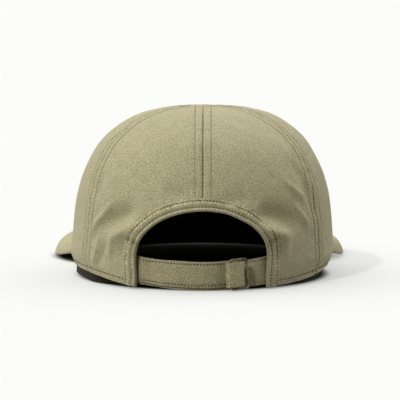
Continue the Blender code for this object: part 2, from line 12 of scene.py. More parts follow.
import bmesh
import bpy
import numpy as np
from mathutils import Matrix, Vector


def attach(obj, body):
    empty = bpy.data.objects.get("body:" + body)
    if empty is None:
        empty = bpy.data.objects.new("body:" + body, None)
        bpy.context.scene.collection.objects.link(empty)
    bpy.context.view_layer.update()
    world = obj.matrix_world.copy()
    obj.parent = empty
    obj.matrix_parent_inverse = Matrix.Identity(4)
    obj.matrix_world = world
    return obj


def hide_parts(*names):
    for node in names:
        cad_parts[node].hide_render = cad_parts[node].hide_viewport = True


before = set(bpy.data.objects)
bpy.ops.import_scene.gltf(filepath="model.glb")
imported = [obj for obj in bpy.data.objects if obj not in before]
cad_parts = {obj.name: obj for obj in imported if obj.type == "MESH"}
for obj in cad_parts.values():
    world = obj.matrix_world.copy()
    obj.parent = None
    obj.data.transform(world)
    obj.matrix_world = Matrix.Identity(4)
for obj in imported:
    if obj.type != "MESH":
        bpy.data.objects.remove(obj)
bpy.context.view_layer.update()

# %% [markdown]
# ## The place of things
# The crown's axis doesn't pass through the middle of the whole cap, because the visor reaches far
# forward. One small helper adds that shift, so every later cell can work round the crown's axis.

# %% From millimetres round the crown to metres in the frame
MM = 0.001
CROWN_AXIS = np.array([2.688, -37.212, 0.0])


def metres(points):
    """Points in millimetres round the crown's axis, as metres in the frame."""
    return (np.asarray(points, float) + CROWN_AXIS) * MM


print("crown axis at", metres((0, 0, 0)))

# %% [markdown]
# ## Camera
# The cap is seen from behind, from about one and a half metres and only five degrees above the floor. A
# long lens from far away keeps the proportions calm, as in a product picture. The camera is aimed by
# turning it, not by shifting its lens, so that it can be moved round the cap later.

# %% Camera
CAMERA_PLACE = (0.0, -1493.6, 193.0)
CAMERA_AIM = (-2.0, 0.0, 48.44)
CAMERA_LENS = 203.25
SENSOR = 36.0


def aim(obj, place, target):
    """Puts a camera or lamp at place and points it at target."""
    obj.location = Vector(metres(place))
    way = Vector(metres(target)) - obj.location
    obj.rotation_euler = way.to_track_quat("-Z", "Y").to_euler()


camera = bpy.data.objects.new("camera", bpy.data.cameras.new("camera"))
camera.data.lens = CAMERA_LENS
camera.data.sensor_width = SENSOR
aim(camera, CAMERA_PLACE, CAMERA_AIM)
bpy.context.scene.collection.objects.link(camera)
bpy.context.scene.camera = camera
bpy.context.scene.view_settings.view_transform = "Standard"
print("camera at", tuple(round(value, 3) for value in camera.location))

# %% [markdown]
# ## Floor and light
# The cap stands on a white sweep. A small hard lamp behind the camera's left shoulder throws the shadow,
# and wide soft boards from the left, the right and above shape the crown. The floor looks white to the
# camera, but sends back less light than it shows, as a table in a studio with black flags round it would.
# Under the cap it has painted shade: its colour turns dark and its glow stops in ovals round the crown and
# the visor. A few helpers for drawing node trees come first.

# %% Node helpers
def feed(tree, socket, value):
    """Gives a socket a plain value or a link."""
    if isinstance(value, bpy.types.NodeSocket):
        tree.links.new(value, socket)
    else:
        socket.default_value = value


def put(tree, kind, fed=(), **values):
    """A new node in a tree, with its settings and with what is fed into its sockets."""
    node = tree.nodes.new(kind)
    for key, value in values.items():
        setattr(node, key, value)
    for label, value in dict(fed).items():
        feed(tree, node.inputs[label], value)
    return node


def calc(tree, operation, *values):
    """One step of arithmetic on single numbers."""
    return put(tree, "ShaderNodeMath", dict(enumerate(values)), operation=operation).outputs[0]


def weighted(tree, first, first_weight, second, second_weight):
    """A sum of two numbers, each times its weight."""
    first = calc(tree, "MULTIPLY", first, first_weight)
    return calc(tree, "ADD", first, calc(tree, "MULTIPLY", second, second_weight))


def parts(tree, vector):
    """The three numbers of a vector."""
    return put(tree, "ShaderNodeSeparateXYZ", {0: vector}).outputs


def noise(tree, vector, scale, detail, dimensions="3D"):
    """Smooth noise from 0 to 1 over a place."""
    fed = {"Vector": vector, "Scale": scale, "Detail": detail}
    return put(tree, "ShaderNodeTexNoise", fed, noise_dimensions=dimensions).outputs[0]


def bumped(tree, height, depth):
    """The way out of a surface that a height map makes uneven."""
    return put(tree, "ShaderNodeBump", {"Distance": depth, "Height": height}).outputs[0]


def blend_colours(tree, share, low, high):
    """A colour between two, by share."""
    fed = {"Factor": share, "A": low, "B": high}
    return put(tree, "ShaderNodeMix", fed, data_type="RGBA").outputs["Result"]


def new_material(name):
    """A material with nodes: itself, its tree and its shader."""
    material = bpy.data.materials.new(name)
    material.use_nodes = True
    return material, material.node_tree, material.node_tree.nodes["Principled BSDF"]


print("node helpers ready")

# %% Floor
FLOOR_HALF = 40.0
FLOOR_SEEN = (0.490, 0.495, 0.480, 1.0)
# painted shade: the floor's colour under the cap, inside the two ovals below
FLOOR_PAINTED_SHADE = (0.07, 0.07, 0.065, 1.0)
FLOOR_SENDS = (0.32, 0.32, 0.31, 1.0)
FLOOR_GLOW = 0.40
CROWN_SHADE_SPOT = {"middle": (0.0027, -0.0372), "reach": (0.0825, 0.0885)}
VISOR_SHADE_SPOT = {"middle": (-0.0050, 0.0600), "reach": (0.097, 0.078)}
SPOT_EDGE = (0.95, 1.05)
WARM_WHITE = (1.0, 1.0, 0.98, 1.0)


def ramp(tree, value, start, end, height):
    """A smooth step from 0 up to a height."""
    fed = {"Value": value, "From Min": start, "From Max": end, "To Max": height}
    return put(tree, "ShaderNodeMapRange", fed, interpolation_type="SMOOTHSTEP").outputs[0]


def camera_sees(tree):
    """1 for rays from the camera, straight or by mirror or glass."""
    rays = put(tree, "ShaderNodeLightPath").outputs
    seen = calc(tree, "MAXIMUM", rays["Is Camera Ray"], rays["Is Glossy Ray"])
    return calc(tree, "MAXIMUM", seen, rays["Is Transmission Ray"])


def from_spot(tree, place, middle, reach):
    """Distance on the floor from the middle of an oval, where 1 is the oval's edge."""
    shares = []
    for axis, centre, half in zip("XY", middle, reach):
        offset = calc(tree, "SUBTRACT", place[axis], centre)
        shares.append(calc(tree, "POWER", calc(tree, "DIVIDE", offset, half), 2.0))
    return calc(tree, "SQRT", calc(tree, "ADD", *shares))


def outside_painted_shade(tree):
    """1 on the floor beside the cap, easing to 0 under it, where the floor has painted shade."""
    place = parts(tree, put(tree, "ShaderNodeTexCoord").outputs["Object"])
    crown, visor = [from_spot(tree, place, **spot) for spot in (CROWN_SHADE_SPOT, VISOR_SHADE_SPOT)]
    return ramp(tree, calc(tree, "MINIMUM", crown, visor), *SPOT_EDGE, 1.0)


def make_floor():
    """A wide sheet that looks white beside the cap, with painted shade under it."""
    mesh = bpy.data.meshes.new("floor")
    corners = [(FLOOR_HALF * x, FLOOR_HALF * y, 0) for x, y in ((-1, -1), (1, -1), (1, 1), (-1, 1))]
    mesh.from_pydata(corners, [], [(0, 1, 2, 3)])
    material, tree, shader = new_material("white_sweep")
    seen, beside = camera_sees(tree), outside_painted_shade(tree)
    # painted shade: the floor's colour turns dark under the cap, and its glow stops there
    paper = blend_colours(tree, beside, FLOOR_PAINTED_SHADE, FLOOR_SEEN)
    feed(tree, shader.inputs["Base Color"], blend_colours(tree, seen, FLOOR_SENDS, paper))
    glow = calc(tree, "MULTIPLY", calc(tree, "MULTIPLY", seen, beside), FLOOR_GLOW)
    feed(tree, shader.inputs["Emission Strength"], glow)
    shader.inputs["Emission Color"].default_value = WARM_WHITE
    shader.inputs["Roughness"].default_value = 1.0
    shader.inputs["Specular IOR Level"].default_value = 0.0
    mesh.materials.append(material)
    floor = bpy.data.objects.new("floor", mesh)
    bpy.context.scene.collection.objects.link(floor)


make_floor()
print("floor of", 2 * FLOOR_HALF, "metres")

# %% Surrounding and lamps
ROOM_BEHIND = 0.42
ROOM_SEEN = 0.965
ROOM_EDGE = (-0.2, 0.6)
LAMPS = {
    "shadow_lamp": {"turn": 36, "rise": 43, "spread": 2.5, "strength": 0.95},
    "left_board": {"turn": 88, "rise": 40, "spread": 80, "strength": 1.65},
    "right_board": {"turn": -105, "rise": 28, "spread": 80, "strength": 1.1},
    "top_board": {"turn": 180, "rise": 70, "spread": 80, "strength": 1.0},
}


def make_surrounding():
    """A white backdrop behind the cap, and a dark room on the camera's side."""
    world = bpy.data.worlds.new("white_room")
    bpy.context.scene.world = world
    world.use_nodes = True
    tree = world.node_tree
    background = tree.nodes["Background"]
    way = parts(tree, put(tree, "ShaderNodeTexCoord").outputs["Generated"])
    room = ramp(tree, way["Y"], *ROOM_EDGE, ROOM_BEHIND)
    fed = {"Factor": camera_sees(tree), "A": room, "B": ROOM_SEEN}
    level = put(tree, "ShaderNodeMix", fed, data_type="FLOAT").outputs[0]
    feed(tree, background.inputs["Strength"], level)
    background.inputs["Color"].default_value = WARM_WHITE


def make_lamp(name, turn, rise, spread, strength):
    """A lamp as far off as the sun, which lights all of the floor alike. turn counts to the camera's left."""
    lamp = bpy.data.objects.new(name, bpy.data.lights.new(name, "SUN"))
    lamp.data.energy = strength
    lamp.data.angle = math.radians(spread)
    turn, rise = math.radians(turn), math.radians(rise)
    lamp.location = (-math.sin(turn) * math.cos(rise), -math.cos(turn) * math.cos(rise), math.sin(rise))
    lamp.rotation_euler = (-lamp.location).to_track_quat("-Z", "Y").to_euler()
    bpy.context.scene.collection.objects.link(lamp)


make_surrounding()
for lamp_name, settings in LAMPS.items():
    make_lamp(lamp_name, **settings)
print("lamps:", ", ".join(LAMPS))

# %% [markdown]
# ## The crown's form
# A soft cap keeps the form of a head: its plan is nearly an ellipse, and its side swells out over the
# rim, then closes in a dome. A formula for that form, written for whole arrays at once, lets each cloth
# piece lie exactly on the crown: a panel, a tape or a stitch asks for an angle, a height and how far off
# the surface it lies.

# %% Crown formula
CROWN_HALF = 86.5
BACK_REACH = 97.0
FRONT_REACH = 100.0
CROWN_TOP = 111.7
WIDEST_Z = 8.5
FULLNESS = 2.8
RIM_BACK_Z = 0.7
RIM_SIDE_Z = 7.6
RIM_ROUNDNESS = 3
RIM_TUCK = 0.6
LEAN = 1.7
LEAN_Z = 101.0
LEAN_REACH = 15.0
TOP_SETTLE = 0.6
RIGHT_TUCK = 4.2
LEFT_TUCK = 2.2
TUCK_Z = 17.0
TUCK_HEIGHT = 12.0
LEFT_BULGE = 1.5
LEFT_BULGE_Z = 17.0
LEFT_BULGE_REACH = 9.0


def smooth(share):
    """An S-curve from 0 to 1."""
    share = np.clip(share, 0.0, 1.0)
    return share * share * (3 - 2 * share)


def mix(start, end, share):
    """A value between two, by share."""
    return start + (end - start) * share


def bell(value, middle, reach):
    """A soft bump of height 1 round a middle value."""
    return np.exp(-(((value - middle) / reach) ** 2))


def unit(way):
    """The same directions, with length 1."""
    return way / np.linalg.norm(way, axis=-1, keepdims=True)


def stacked(*values):
    """Values side by side in one array, each spread to their common shape."""
    return np.stack(np.broadcast_arrays(*values), -1)


def lengths(points):
    """The way along a row of points, from the first one to each."""
    return np.concatenate([[0], np.cumsum(np.linalg.norm(np.diff(points, axis=0), axis=1))])


def crown_scale(z):
    """The plan's share of its widest size at height z, and how fast that share grows."""
    z = np.asarray(z, float)
    height = CROWN_TOP - WIDEST_Z
    tuck = RIM_TUCK / CROWN_HALF
    below = np.clip((WIDEST_Z - z) / (WIDEST_Z - RIM_BACK_Z), 0, None)
    rise = np.clip((z - WIDEST_Z) / height, 0, 0.999999)
    rest = 1 - rise**FULLNESS
    scale = rest ** (1 / FULLNESS) - tuck * below**2
    dome_slope = -(rise ** (FULLNESS - 1)) * rest ** (1 / FULLNESS - 1) / height
    return scale, dome_slope + 2 * tuck * below / (WIDEST_Z - RIM_BACK_Z)


def crown_reach(angle):
    """The plan's half length, which is greater toward the visor."""
    return np.where(np.sin(angle) > 0, FRONT_REACH, BACK_REACH)


def settled(point):
    """The soft crown leans to the wearer's right, its top sinks and its rim draws in at the sides."""
    x, y, z = point[..., 0], point[..., 1], point[..., 2]
    toward_side = x * np.abs(x) / (x * x + y * y + 1e-9)
    aside = LEAN * np.abs(toward_side) * bell(z, LEAN_Z, LEAN_REACH)
    tuck = np.where(x > 0, RIGHT_TUCK, LEFT_TUCK) * toward_side * smooth((TUCK_Z - z) / TUCK_HEIGHT)
    bulge = LEFT_BULGE * np.minimum(toward_side, 0) * bell(z, LEFT_BULGE_Z, LEFT_BULGE_REACH)
    sink = TOP_SETTLE * smooth((z - LEAN_Z + LEAN_REACH) / LEAN_REACH)
    return point + np.stack([aside - tuck + bulge, 0 * z, -sink], -1)


def crown_surface(angle, z):
    """Points on the crown's smooth outer face, and the way out of it there."""
    angle, z = np.broadcast_arrays(np.asarray(angle, float), np.asarray(z, float))
    scale, slope = crown_scale(z)
    reach = crown_reach(angle)
    point = np.stack([CROWN_HALF * scale * np.cos(angle), reach * scale * np.sin(angle), z], -1)
    out = np.stack([np.cos(angle) / CROWN_HALF, np.sin(angle) / reach, -slope], -1)
    return settled(point), unit(out)


def back_angle(x, z):
    """The angle at which the back of the crown passes x at height z."""
    scale, _ = crown_scale(z)
    return -np.arccos(np.clip(x / (CROWN_HALF * scale), -1, 1))


def dome_height(scale):
    """The height at which the plan has this share of its widest size."""
    return mix(WIDEST_Z, CROWN_TOP, (1 - scale**FULLNESS) ** (1 / FULLNESS))


def around(angle, z):
    """Millimetres on the crown for one radian of angle."""
    scale, _ = crown_scale(z)
    return scale * np.hypot(CROWN_HALF * np.sin(angle), crown_reach(angle) * np.cos(angle))


print("crown is", 2 * CROWN_HALF, "wide and", CROWN_TOP, "high")

# %% [markdown]
# The rim isn't level: it lies lowest at the back, lifts at the sides, and passes over the visor's root at
# the front. So the visor's own form comes here too: flat in its middle, with sides that curve down to the
# floor.

# %% Visor and rim formulas
VISOR_REACH = 172.0
VISOR_HALF = 102.75
VISOR_WIDEST_Y = 110.0
VISOR_FRONT_FULLNESS = 2.15
VISOR_HALF_ANGLE = math.radians(58)
VISOR_CORNER_START = math.radians(80)
VISOR_TURN = math.radians(1.4)
VISOR_FRONT = math.pi / 2 + VISOR_TURN
VISOR_TILT = math.radians(1.4)
VISOR_SIDE_FALL = 13.0
VISOR_SIDE_FULLNESS = 5
VISOR_DROOP = 4.0
VISOR_STACK = 4.0
VISOR_LIFT = 0.1
RIM_LIFT_ANGLE = math.radians(25)
RIM_RISE = 1.9
RIM_RISE_ANGLE = math.radians(-142)
RIM_RISE_REACH = math.radians(20)
CLEAR = 0.3


def turned(x, y, turn):
    """Plan points turned about the crown's axis."""
    return x * math.cos(turn) - y * math.sin(turn), x * math.sin(turn) + y * math.cos(turn)


def visor_fall(x, y):
    """How far the visor's top lies below its root's height at the front."""
    side, forward = turned(x, y, -VISOR_TURN)
    share = np.abs(side) / VISOR_HALF
    ahead = forward - FRONT_REACH
    droop = VISOR_DROOP * (np.clip(ahead, 0, None) / (VISOR_REACH - FRONT_REACH)) ** 2 * (1 - share**2)
    return VISOR_SIDE_FALL * share**VISOR_SIDE_FULLNESS - math.tan(VISOR_TILT) * ahead + droop


def visor_outline(lobe_steps=40, front_steps=150):
    """Plan points round the visor's edge, from its right corner over the front to its left corner."""
    corner, _ = crown_surface(VISOR_FRONT - VISOR_HALF_ANGLE, WIDEST_Z)
    corner_x, corner_y = turned(corner[0], corner[1], -VISOR_TURN)
    turn = np.linspace(-VISOR_CORNER_START, 0, lobe_steps)[:-1]
    lobe_x = corner_x + (VISOR_HALF - corner_x) * np.cos(turn)
    lobe_y = VISOR_WIDEST_Y + (VISOR_WIDEST_Y - corner_y) * np.sin(turn)
    turn = np.linspace(0, math.pi, front_steps)
    power = 2 / VISOR_FRONT_FULLNESS
    front_x = VISOR_HALF * np.sign(np.cos(turn)) * np.abs(np.cos(turn)) ** power
    front_y = VISOR_WIDEST_Y + (VISOR_REACH - VISOR_WIDEST_Y) * np.abs(np.sin(turn)) ** power
    x = np.concatenate([lobe_x, front_x, -lobe_x[::-1]])
    y = np.concatenate([lobe_y, front_y, lobe_y[::-1]])
    return turned(x, y, VISOR_TURN)


VISOR_ROOT_Z = VISOR_LIFT + VISOR_STACK + float(np.max(visor_fall(*visor_outline())))


def visor_top(x, y):
    """Height of the visor's upper face."""
    return VISOR_ROOT_Z - visor_fall(x, y)


def from_angle(angle, middle):
    """The angle as counted from another one, the short way round."""
    return (angle - middle + math.pi) % math.tau - math.pi


def from_front(angle):
    """The angle as counted from the visor's middle."""
    return from_angle(angle, VISOR_FRONT)


def visor_share(angle):
    """1 along the visor's root, easing to 0 beside it."""
    return smooth(1 - (np.abs(from_front(angle)) - VISOR_HALF_ANGLE) / RIM_LIFT_ANGLE)


def rim_z(angle):
    """Height of the crown's lower edge."""
    toward_side = np.where(np.sin(angle) < 0, np.abs(np.cos(angle)), 1.0)
    free = mix(RIM_BACK_Z, RIM_SIDE_Z, toward_side**RIM_ROUNDNESS)
    free = free + RIM_RISE * bell(from_angle(angle, RIM_RISE_ANGLE), 0, RIM_RISE_REACH)
    on_visor = np.clip(from_front(angle), -VISOR_HALF_ANGLE, VISOR_HALF_ANGLE) + VISOR_FRONT
    root, _ = crown_surface(on_visor, WIDEST_Z)
    return mix(free, visor_top(root[..., 0], root[..., 1]) + CLEAR, visor_share(angle))


print("visor root at", round(VISOR_ROOT_Z, 2), "mm, rim at the back at", round(float(rim_z(-math.pi / 2)), 2))

# %% [markdown]
# ## Relief of sewn cloth
# Sewn cotton is never smooth. Each seam sinks in, its two stitch rows press small dents, the cloth
# between the dents puckers, and a soft crown that has been worn and packed keeps a few folds. All of this
# is one relief over the crown, so that panels, binding and stitches agree on where the surface is.

# %% Seeded soft noise
NOISE_CELLS = 32


def soft_noise(points, seed):
    """Smooth noise from -1 to 1; points are counted in cells, and the seed fixes the result."""
    lattice = np.random.default_rng(seed).uniform(-1, 1, (NOISE_CELLS,) * 3)
    cell = np.floor(points).astype(int)
    part = smooth(points - cell)
    total = np.zeros(points.shape[:-1])
    for corner in itertools.product((0, 1), repeat=3):
        weight = np.prod(np.where(np.array(corner) == 1, part, 1 - part), axis=-1)
        x, y, z = np.moveaxis((cell + corner) % NOISE_CELLS, -1, 0)
        total += weight * lattice[x, y, z]
    return total


def noise_at(seed, *cells):
    """The same noise, at places given as separate coordinates."""
    return soft_noise(stacked(*cells), seed)


sample = soft_noise(np.random.default_rng(1).uniform(0, 20, (500, 3)), 5)
print("noise from", round(float(sample.min()), 2), "to", round(float(sample.max()), 2))

# %% Distance along a meridian
MERIDIAN_LOW = np.linspace(0, 100, 401)
MERIDIAN_HIGH = dome_height(np.linspace(0.62, 0.0, 401))
MERIDIAN_Z = np.unique(np.concatenate([MERIDIAN_LOW, MERIDIAN_HIGH]))
MERIDIAN_R = 0.5 * (CROWN_HALF + BACK_REACH) * crown_scale(MERIDIAN_Z)[0]
MERIDIAN_S = lengths(np.stack([MERIDIAN_Z, MERIDIAN_R], -1))


def climb(z):
    """Millimetres along the cloth from the rim's level up to height z."""
    return np.interp(z, MERIDIAN_Z, MERIDIAN_S)


def height_at(length):
    """The height that a length along the cloth reaches."""
    return np.interp(length, MERIDIAN_S, MERIDIAN_Z)


print("cloth from rim to button:", round(float(MERIDIAN_S[-1]), 1), "mm")

# %% Opening outline
ARCH_HALF = 41.6
ARCH_SHIFT = -0.5
ARCH_SPRING = 18.8
ARCH_RISE = 31.4
ARCH_EDGE = 1.1
FLARE = 2.4
FLARE_REACH = 13.0
FLARE_RISE = 16.0


def arch_point(turn, out):
    """A point round the arch's upper part, moved out by some millimetres: x and z."""
    way = unit(np.stack([np.cos(turn) / ARCH_HALF, np.sin(turn) / ARCH_RISE], -1))
    x = ARCH_SHIFT + ARCH_HALF * np.cos(turn) + way[..., 0] * out
    return x, ARCH_SPRING + ARCH_RISE * np.sin(turn) + way[..., 1] * out


def arch_flare(angle, z):
    """The cloth stands out a little over the top of the opening."""
    x = CROWN_HALF * crown_scale(z)[0] * np.cos(angle) - ARCH_SHIFT
    ring = np.hypot(x / ARCH_HALF, np.clip(z - ARCH_SPRING, 0, None) / ARCH_RISE)
    off = np.clip(ring - 1, 0, None) * ARCH_RISE
    at_top = smooth((z - ARCH_SPRING) / FLARE_RISE) * (np.sin(angle) < 0)
    return FLARE * at_top * bell(off, 0, FLARE_REACH)


FOOT_ANGLE = float(back_angle(ARCH_HALF, WIDEST_Z))
FOOT_Z = float(rim_z(FOOT_ANGLE))
print("opening's foot at", round(FOOT_Z, 2), "mm")

# %% Relief
SEAM_STEP = math.radians(60)
SEAM_START = math.radians(-90)
SEAM_ROW = 5.1
SEAM_GROOVE = 0.6
GROOVE_WIDTH = 0.6
PILLOW = 0.22
PILLOW_PLACE = 2.6
PILLOW_WIDTH = 1.8
MIDDLE_DENT = 0.05
SIDE_DENT = 0.2
DENT_WIDTH = 0.7
HEM_ROW = 3.3
HEM_DENT = 0.16
HEM_RIDGE = 0.2
HEM_RIDGE_PLACE = 1.4
HEM_RIDGE_WIDTH = 1.1
PUCKER = 0.32
PUCKER_REACH = 8.5
RIM_PUCKER = 0.8
RIM_PUCKER_REACH = 9.0
BROAD_SWELL = 0.95
SMALL_SWELL = 0.26
CALM_TOP = 6.0
FOLDS = [
    (-138, 40, -121, 49, 6.0, -4.4),
    (-146, 34, -133, 53, 2.6, 2.0),
    (-134, 31, -119, 40, 4.0, 2.5),
    (-140, 31, -143, 13, 2.6, 1.6),
    (-136, 27, -139, 13, 2.4, -1.1),
    (-131, 31, -133, 17, 2.6, 1.5),
    (-125, 34, -125, 22, 2.6, -1.5),
    (-142, 70, -146, 55, 4.0, -1.2),
    (-131, 22, -136, 13, 3.0, -0.8),
    (-107, 62, -96, 60, 4.0, -0.9),
    (-66, 50, -46, 41, 6.5, -5.0),
    (-65, 40, -51, 33, 4.0, 2.8),
    (-50, 67, -39, 54, 2.2, 1.5),
    (-46, 51, -38, 37, 2.5, 1.9),
    (-68, 50, -64, 56, 2.2, 1.0),
    (-83, 55, -70, 58, 4.0, -1.1),
    (-40, 76, -31, 45, 5.0, -2.6),
    (-74, 91, -69, 79, 3.0, 1.0),
    (-43, 90, -41, 78, 3.0, 1.0),
    (-73, 107, -58, 103, 3.0, -0.8),
    (-52, 32, -52, 18, 3.0, 1.0),
    (-57, 30, -57, 16, 2.6, -0.9),
]


def seam_distance(angle, z):
    """Signed millimetres to the nearest seam, and which seam that is."""
    nearest = np.round((angle - SEAM_START) / SEAM_STEP)
    return (angle - SEAM_START - nearest * SEAM_STEP) * around(angle, z), nearest % 6


def fold_relief(angle, z):
    """Folds of a worn crown: each a soft hollow or ridge from one place (angle and height) to another."""
    total = np.zeros(np.shape(angle))
    for start, start_z, end, end_z, width, height in FOLDS:
        run, rise = math.radians(end - start) * CROWN_HALF, end_z - start_z
        length = math.hypot(run, rise)
        aside = from_angle(angle, math.radians((start + end) / 2)) * CROWN_HALF
        above = z - (start_z + end_z) / 2
        along = (aside * run + above * rise) / length
        across = (above * run - aside * rise) / length
        total += height * np.exp(-((2 * along / length) ** 4) - (across / width) ** 2)
    return total


def soft_relief(angle, z):
    """Folds, soft swells and puckers, which all layers of the crown share."""
    across, seam = seam_distance(angle, z)
    above_rim = z - rim_z(angle)
    ripple = noise_at(11, across / 16 + 7, climb(z) / 3.4, seam + 9) * bell(across, 0, PUCKER_REACH)
    rim_ripple = noise_at(12, angle * CROWN_HALF / 4.2 + 400, above_rim / 14 + 5, 3)
    ripple = ripple + RIM_PUCKER * rim_ripple * bell(above_rim, 0, RIM_PUCKER_REACH)
    point, _ = crown_surface(angle, z)
    swell = soft_noise(point / 34 + 10, 13) * BROAD_SWELL + soft_noise(point / 13 + 10, 14) * SMALL_SWELL
    folds = fold_relief(angle, z) + arch_flare(angle, z)
    return PUCKER * ripple + swell * smooth((CROWN_TOP - z) / CALM_TOP) + folds


def seam_relief(angle, z):
    """What sewing does to the outer face: sunk seams, pillowed cloth beside them, dents of stitch rows."""
    across, seam = seam_distance(angle, z)
    above_rim = z - rim_z(angle)
    off = np.abs(across)
    groove = -SEAM_GROOVE * bell(across, 0, GROOVE_WIDTH)
    pillow = PILLOW * bell(off, PILLOW_PLACE, PILLOW_WIDTH)
    dents = -np.where(seam % 3 == 0, MIDDLE_DENT, SIDE_DENT) * bell(off, SEAM_ROW, DENT_WIDTH)
    ridge = HEM_RIDGE * bell(above_rim, HEM_RIDGE_PLACE, HEM_RIDGE_WIDTH)
    hem = -HEM_DENT * bell(above_rim, HEM_ROW, DENT_WIDTH) + ridge
    return (groove + pillow + dents) * smooth((CROWN_TOP - z) / CALM_TOP) + hem


def cloth_point(angle, z, height=0.0):
    """A point at this height over the crown's outer cloth."""
    point, out = crown_surface(angle, z)
    return point + out * (soft_relief(angle, z) + seam_relief(angle, z) + height)[..., None]


def layer_point(angle, z, height):
    """A point of another layer, which shares the folds but not the sewn dents."""
    point, out = crown_surface(angle, z)
    return point + out * (soft_relief(angle, z) + height)[..., None]


test = soft_relief(np.linspace(-3, 3, 400), np.full(400, 40.0))
print("relief from", round(float(test.min()), 2), "to", round(float(test.max()), 2), "mm")

# %% [markdown]
# ## Making meshes
# A piece of cloth is a thin closed sheet: a grid of points for its outer face, a second grid for its
# inner face and a wall between their edges. A strap or a rod is a row of closed rings instead. Each mesh
# also carries its cloth coordinates (a UV map in units of 100 mm) and the distance to its nearest stitch
# row, which the materials read.

# %% Mesh helpers
CLOTH_UNIT = 100.0
SHARP_EDGE = math.radians(62)


def grid_quads(index):
    """Four-cornered faces between neighbours in a grid of point numbers."""
    return np.stack([index[:-1, :-1], index[1:, :-1], index[1:, 1:], index[:-1, 1:]], -1).reshape(-1, 4)


def slab(outer, inner):
    """Points and faces of a closed sheet between two grids. The outer faces come first."""
    index = np.arange(outer[..., 0].size).reshape(outer.shape[:2])
    edge = np.concatenate([index[:, 0], index[-1, 1:], index[-2::-1, -1], index[0, -2:0:-1]])
    after = np.roll(edge, -1)
    walls = np.stack([edge, edge + index.size, after + index.size, after], -1)
    quads = grid_quads(index)
    faces = np.concatenate([quads, quads[:, ::-1] + index.size, walls])
    return np.concatenate([outer.reshape(-1, 3), inner.reshape(-1, 3)]), faces.tolist()


def tube(rings, closed):
    """Points and faces of rings joined in a row, closed in a loop or by end caps."""
    count, sides = rings.shape[:2]
    index = np.arange(count * sides).reshape(count, sides)
    wrapped = np.concatenate([index, index[:, :1]], axis=1)
    if closed:
        wrapped = np.concatenate([wrapped, wrapped[:1]])
    faces = grid_quads(wrapped).tolist()
    if not closed:
        faces += [index[0].tolist(), index[-1, ::-1].tolist()]
    return rings.reshape(-1, 3), faces


def make_mesh(name, points, faces, cloth=None, row=None):
    """A mesh in metres, with its cloth map and stitch rows, facing outwards."""
    mesh = bpy.data.meshes.new(name)
    mesh.from_pydata(metres(points).tolist(), [], faces)
    if cloth is not None:
        corner_points = np.zeros(len(mesh.loops), int)
        mesh.loops.foreach_get("vertex_index", corner_points)
        layer = mesh.uv_layers.new(name="cloth")
        layer.uv.foreach_set("vector", (np.reshape(cloth, (-1, 2))[corner_points] / CLOTH_UNIT).ravel())
    if row is not None:
        layer = mesh.attributes.new("row", "FLOAT_VECTOR", "POINT")
        layer.data.foreach_set("vector", np.ravel(row))
    shape = bmesh.new()
    shape.from_mesh(mesh)
    bmesh.ops.recalc_face_normals(shape, faces=shape.faces)
    shape.to_mesh(mesh)
    shape.free()
    mesh.shade_smooth()
    mesh.set_sharp_from_angle(angle=SHARP_EDGE)
    return mesh


def dress(mesh, materials, body, slot, *nodes):
    """Shows a mesh as a finished piece that moves with its body and stands for its CAD nodes."""
    for material in materials:
        mesh.materials.append(material)
    piece = bpy.data.objects.new(mesh.name, mesh)
    bpy.context.scene.collection.objects.link(piece)
    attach(piece, body)
    if nodes:
        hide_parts(*nodes)
    print(mesh.name, "with", len(mesh.polygons), "faces")


def make_sheet(name, outer, inner, cloth, row=None):
    """A closed sheet between two grids, which share one cloth map and one set of stitch rows."""
    if row is not None:
        row = np.stack([row, row])
    return make_mesh(name, *slab(outer, inner), np.stack([cloth, cloth]), row)


def make_tube(name, rings, cloth, row=None):
    """A closed tube of cloth through a row of rings."""
    return make_mesh(name, *tube(rings, False), cloth, row)


print("mesh helpers ready")

# %% [markdown]
# ## Cloth finishes
# Twill shows fine slanting ribs, called wales, and uneven yarns that make it mottled from near. One node
# group draws that weave from the cloth map, and a second one dents the cloth along the stitch rows and
# paints shade into it there. Both are used by every cloth material, each with its own colours. The shader
# itself stays in the material.

# %% Weave and stitch-row groups
WALE_WAY = (0.60, 0.80)
SWAY_SCALE = 0.14
SLUB_SCALE = 1.0
MOTTLE_SCALE = 0.17
YARN_TURN = 5.2
WALE_HEIGHT = 0.5
YARN_HEIGHT = 0.2
SLUB_HEIGHT = 2.6
SLUB_TONE = 3.4
MOTTLE_TONE = 0.7
WEAVE_TONE = 0.6
ROW_WIDTHS = {"Shade": 0.7, "Dip": 1.2}


def new_group(name, inputs, outputs):
    """An empty node group: its tree, what it is given and what it gives."""
    tree = bpy.data.node_groups.new(name, "ShaderNodeTree")
    for label, kind in inputs:
        tree.interface.new_socket(label, in_out="INPUT", socket_type=kind)
    for label in outputs:
        tree.interface.new_socket(label, in_out="OUTPUT", socket_type="NodeSocketFloat")
    return tree, put(tree, "NodeGroupInput").outputs, put(tree, "NodeGroupOutput").inputs


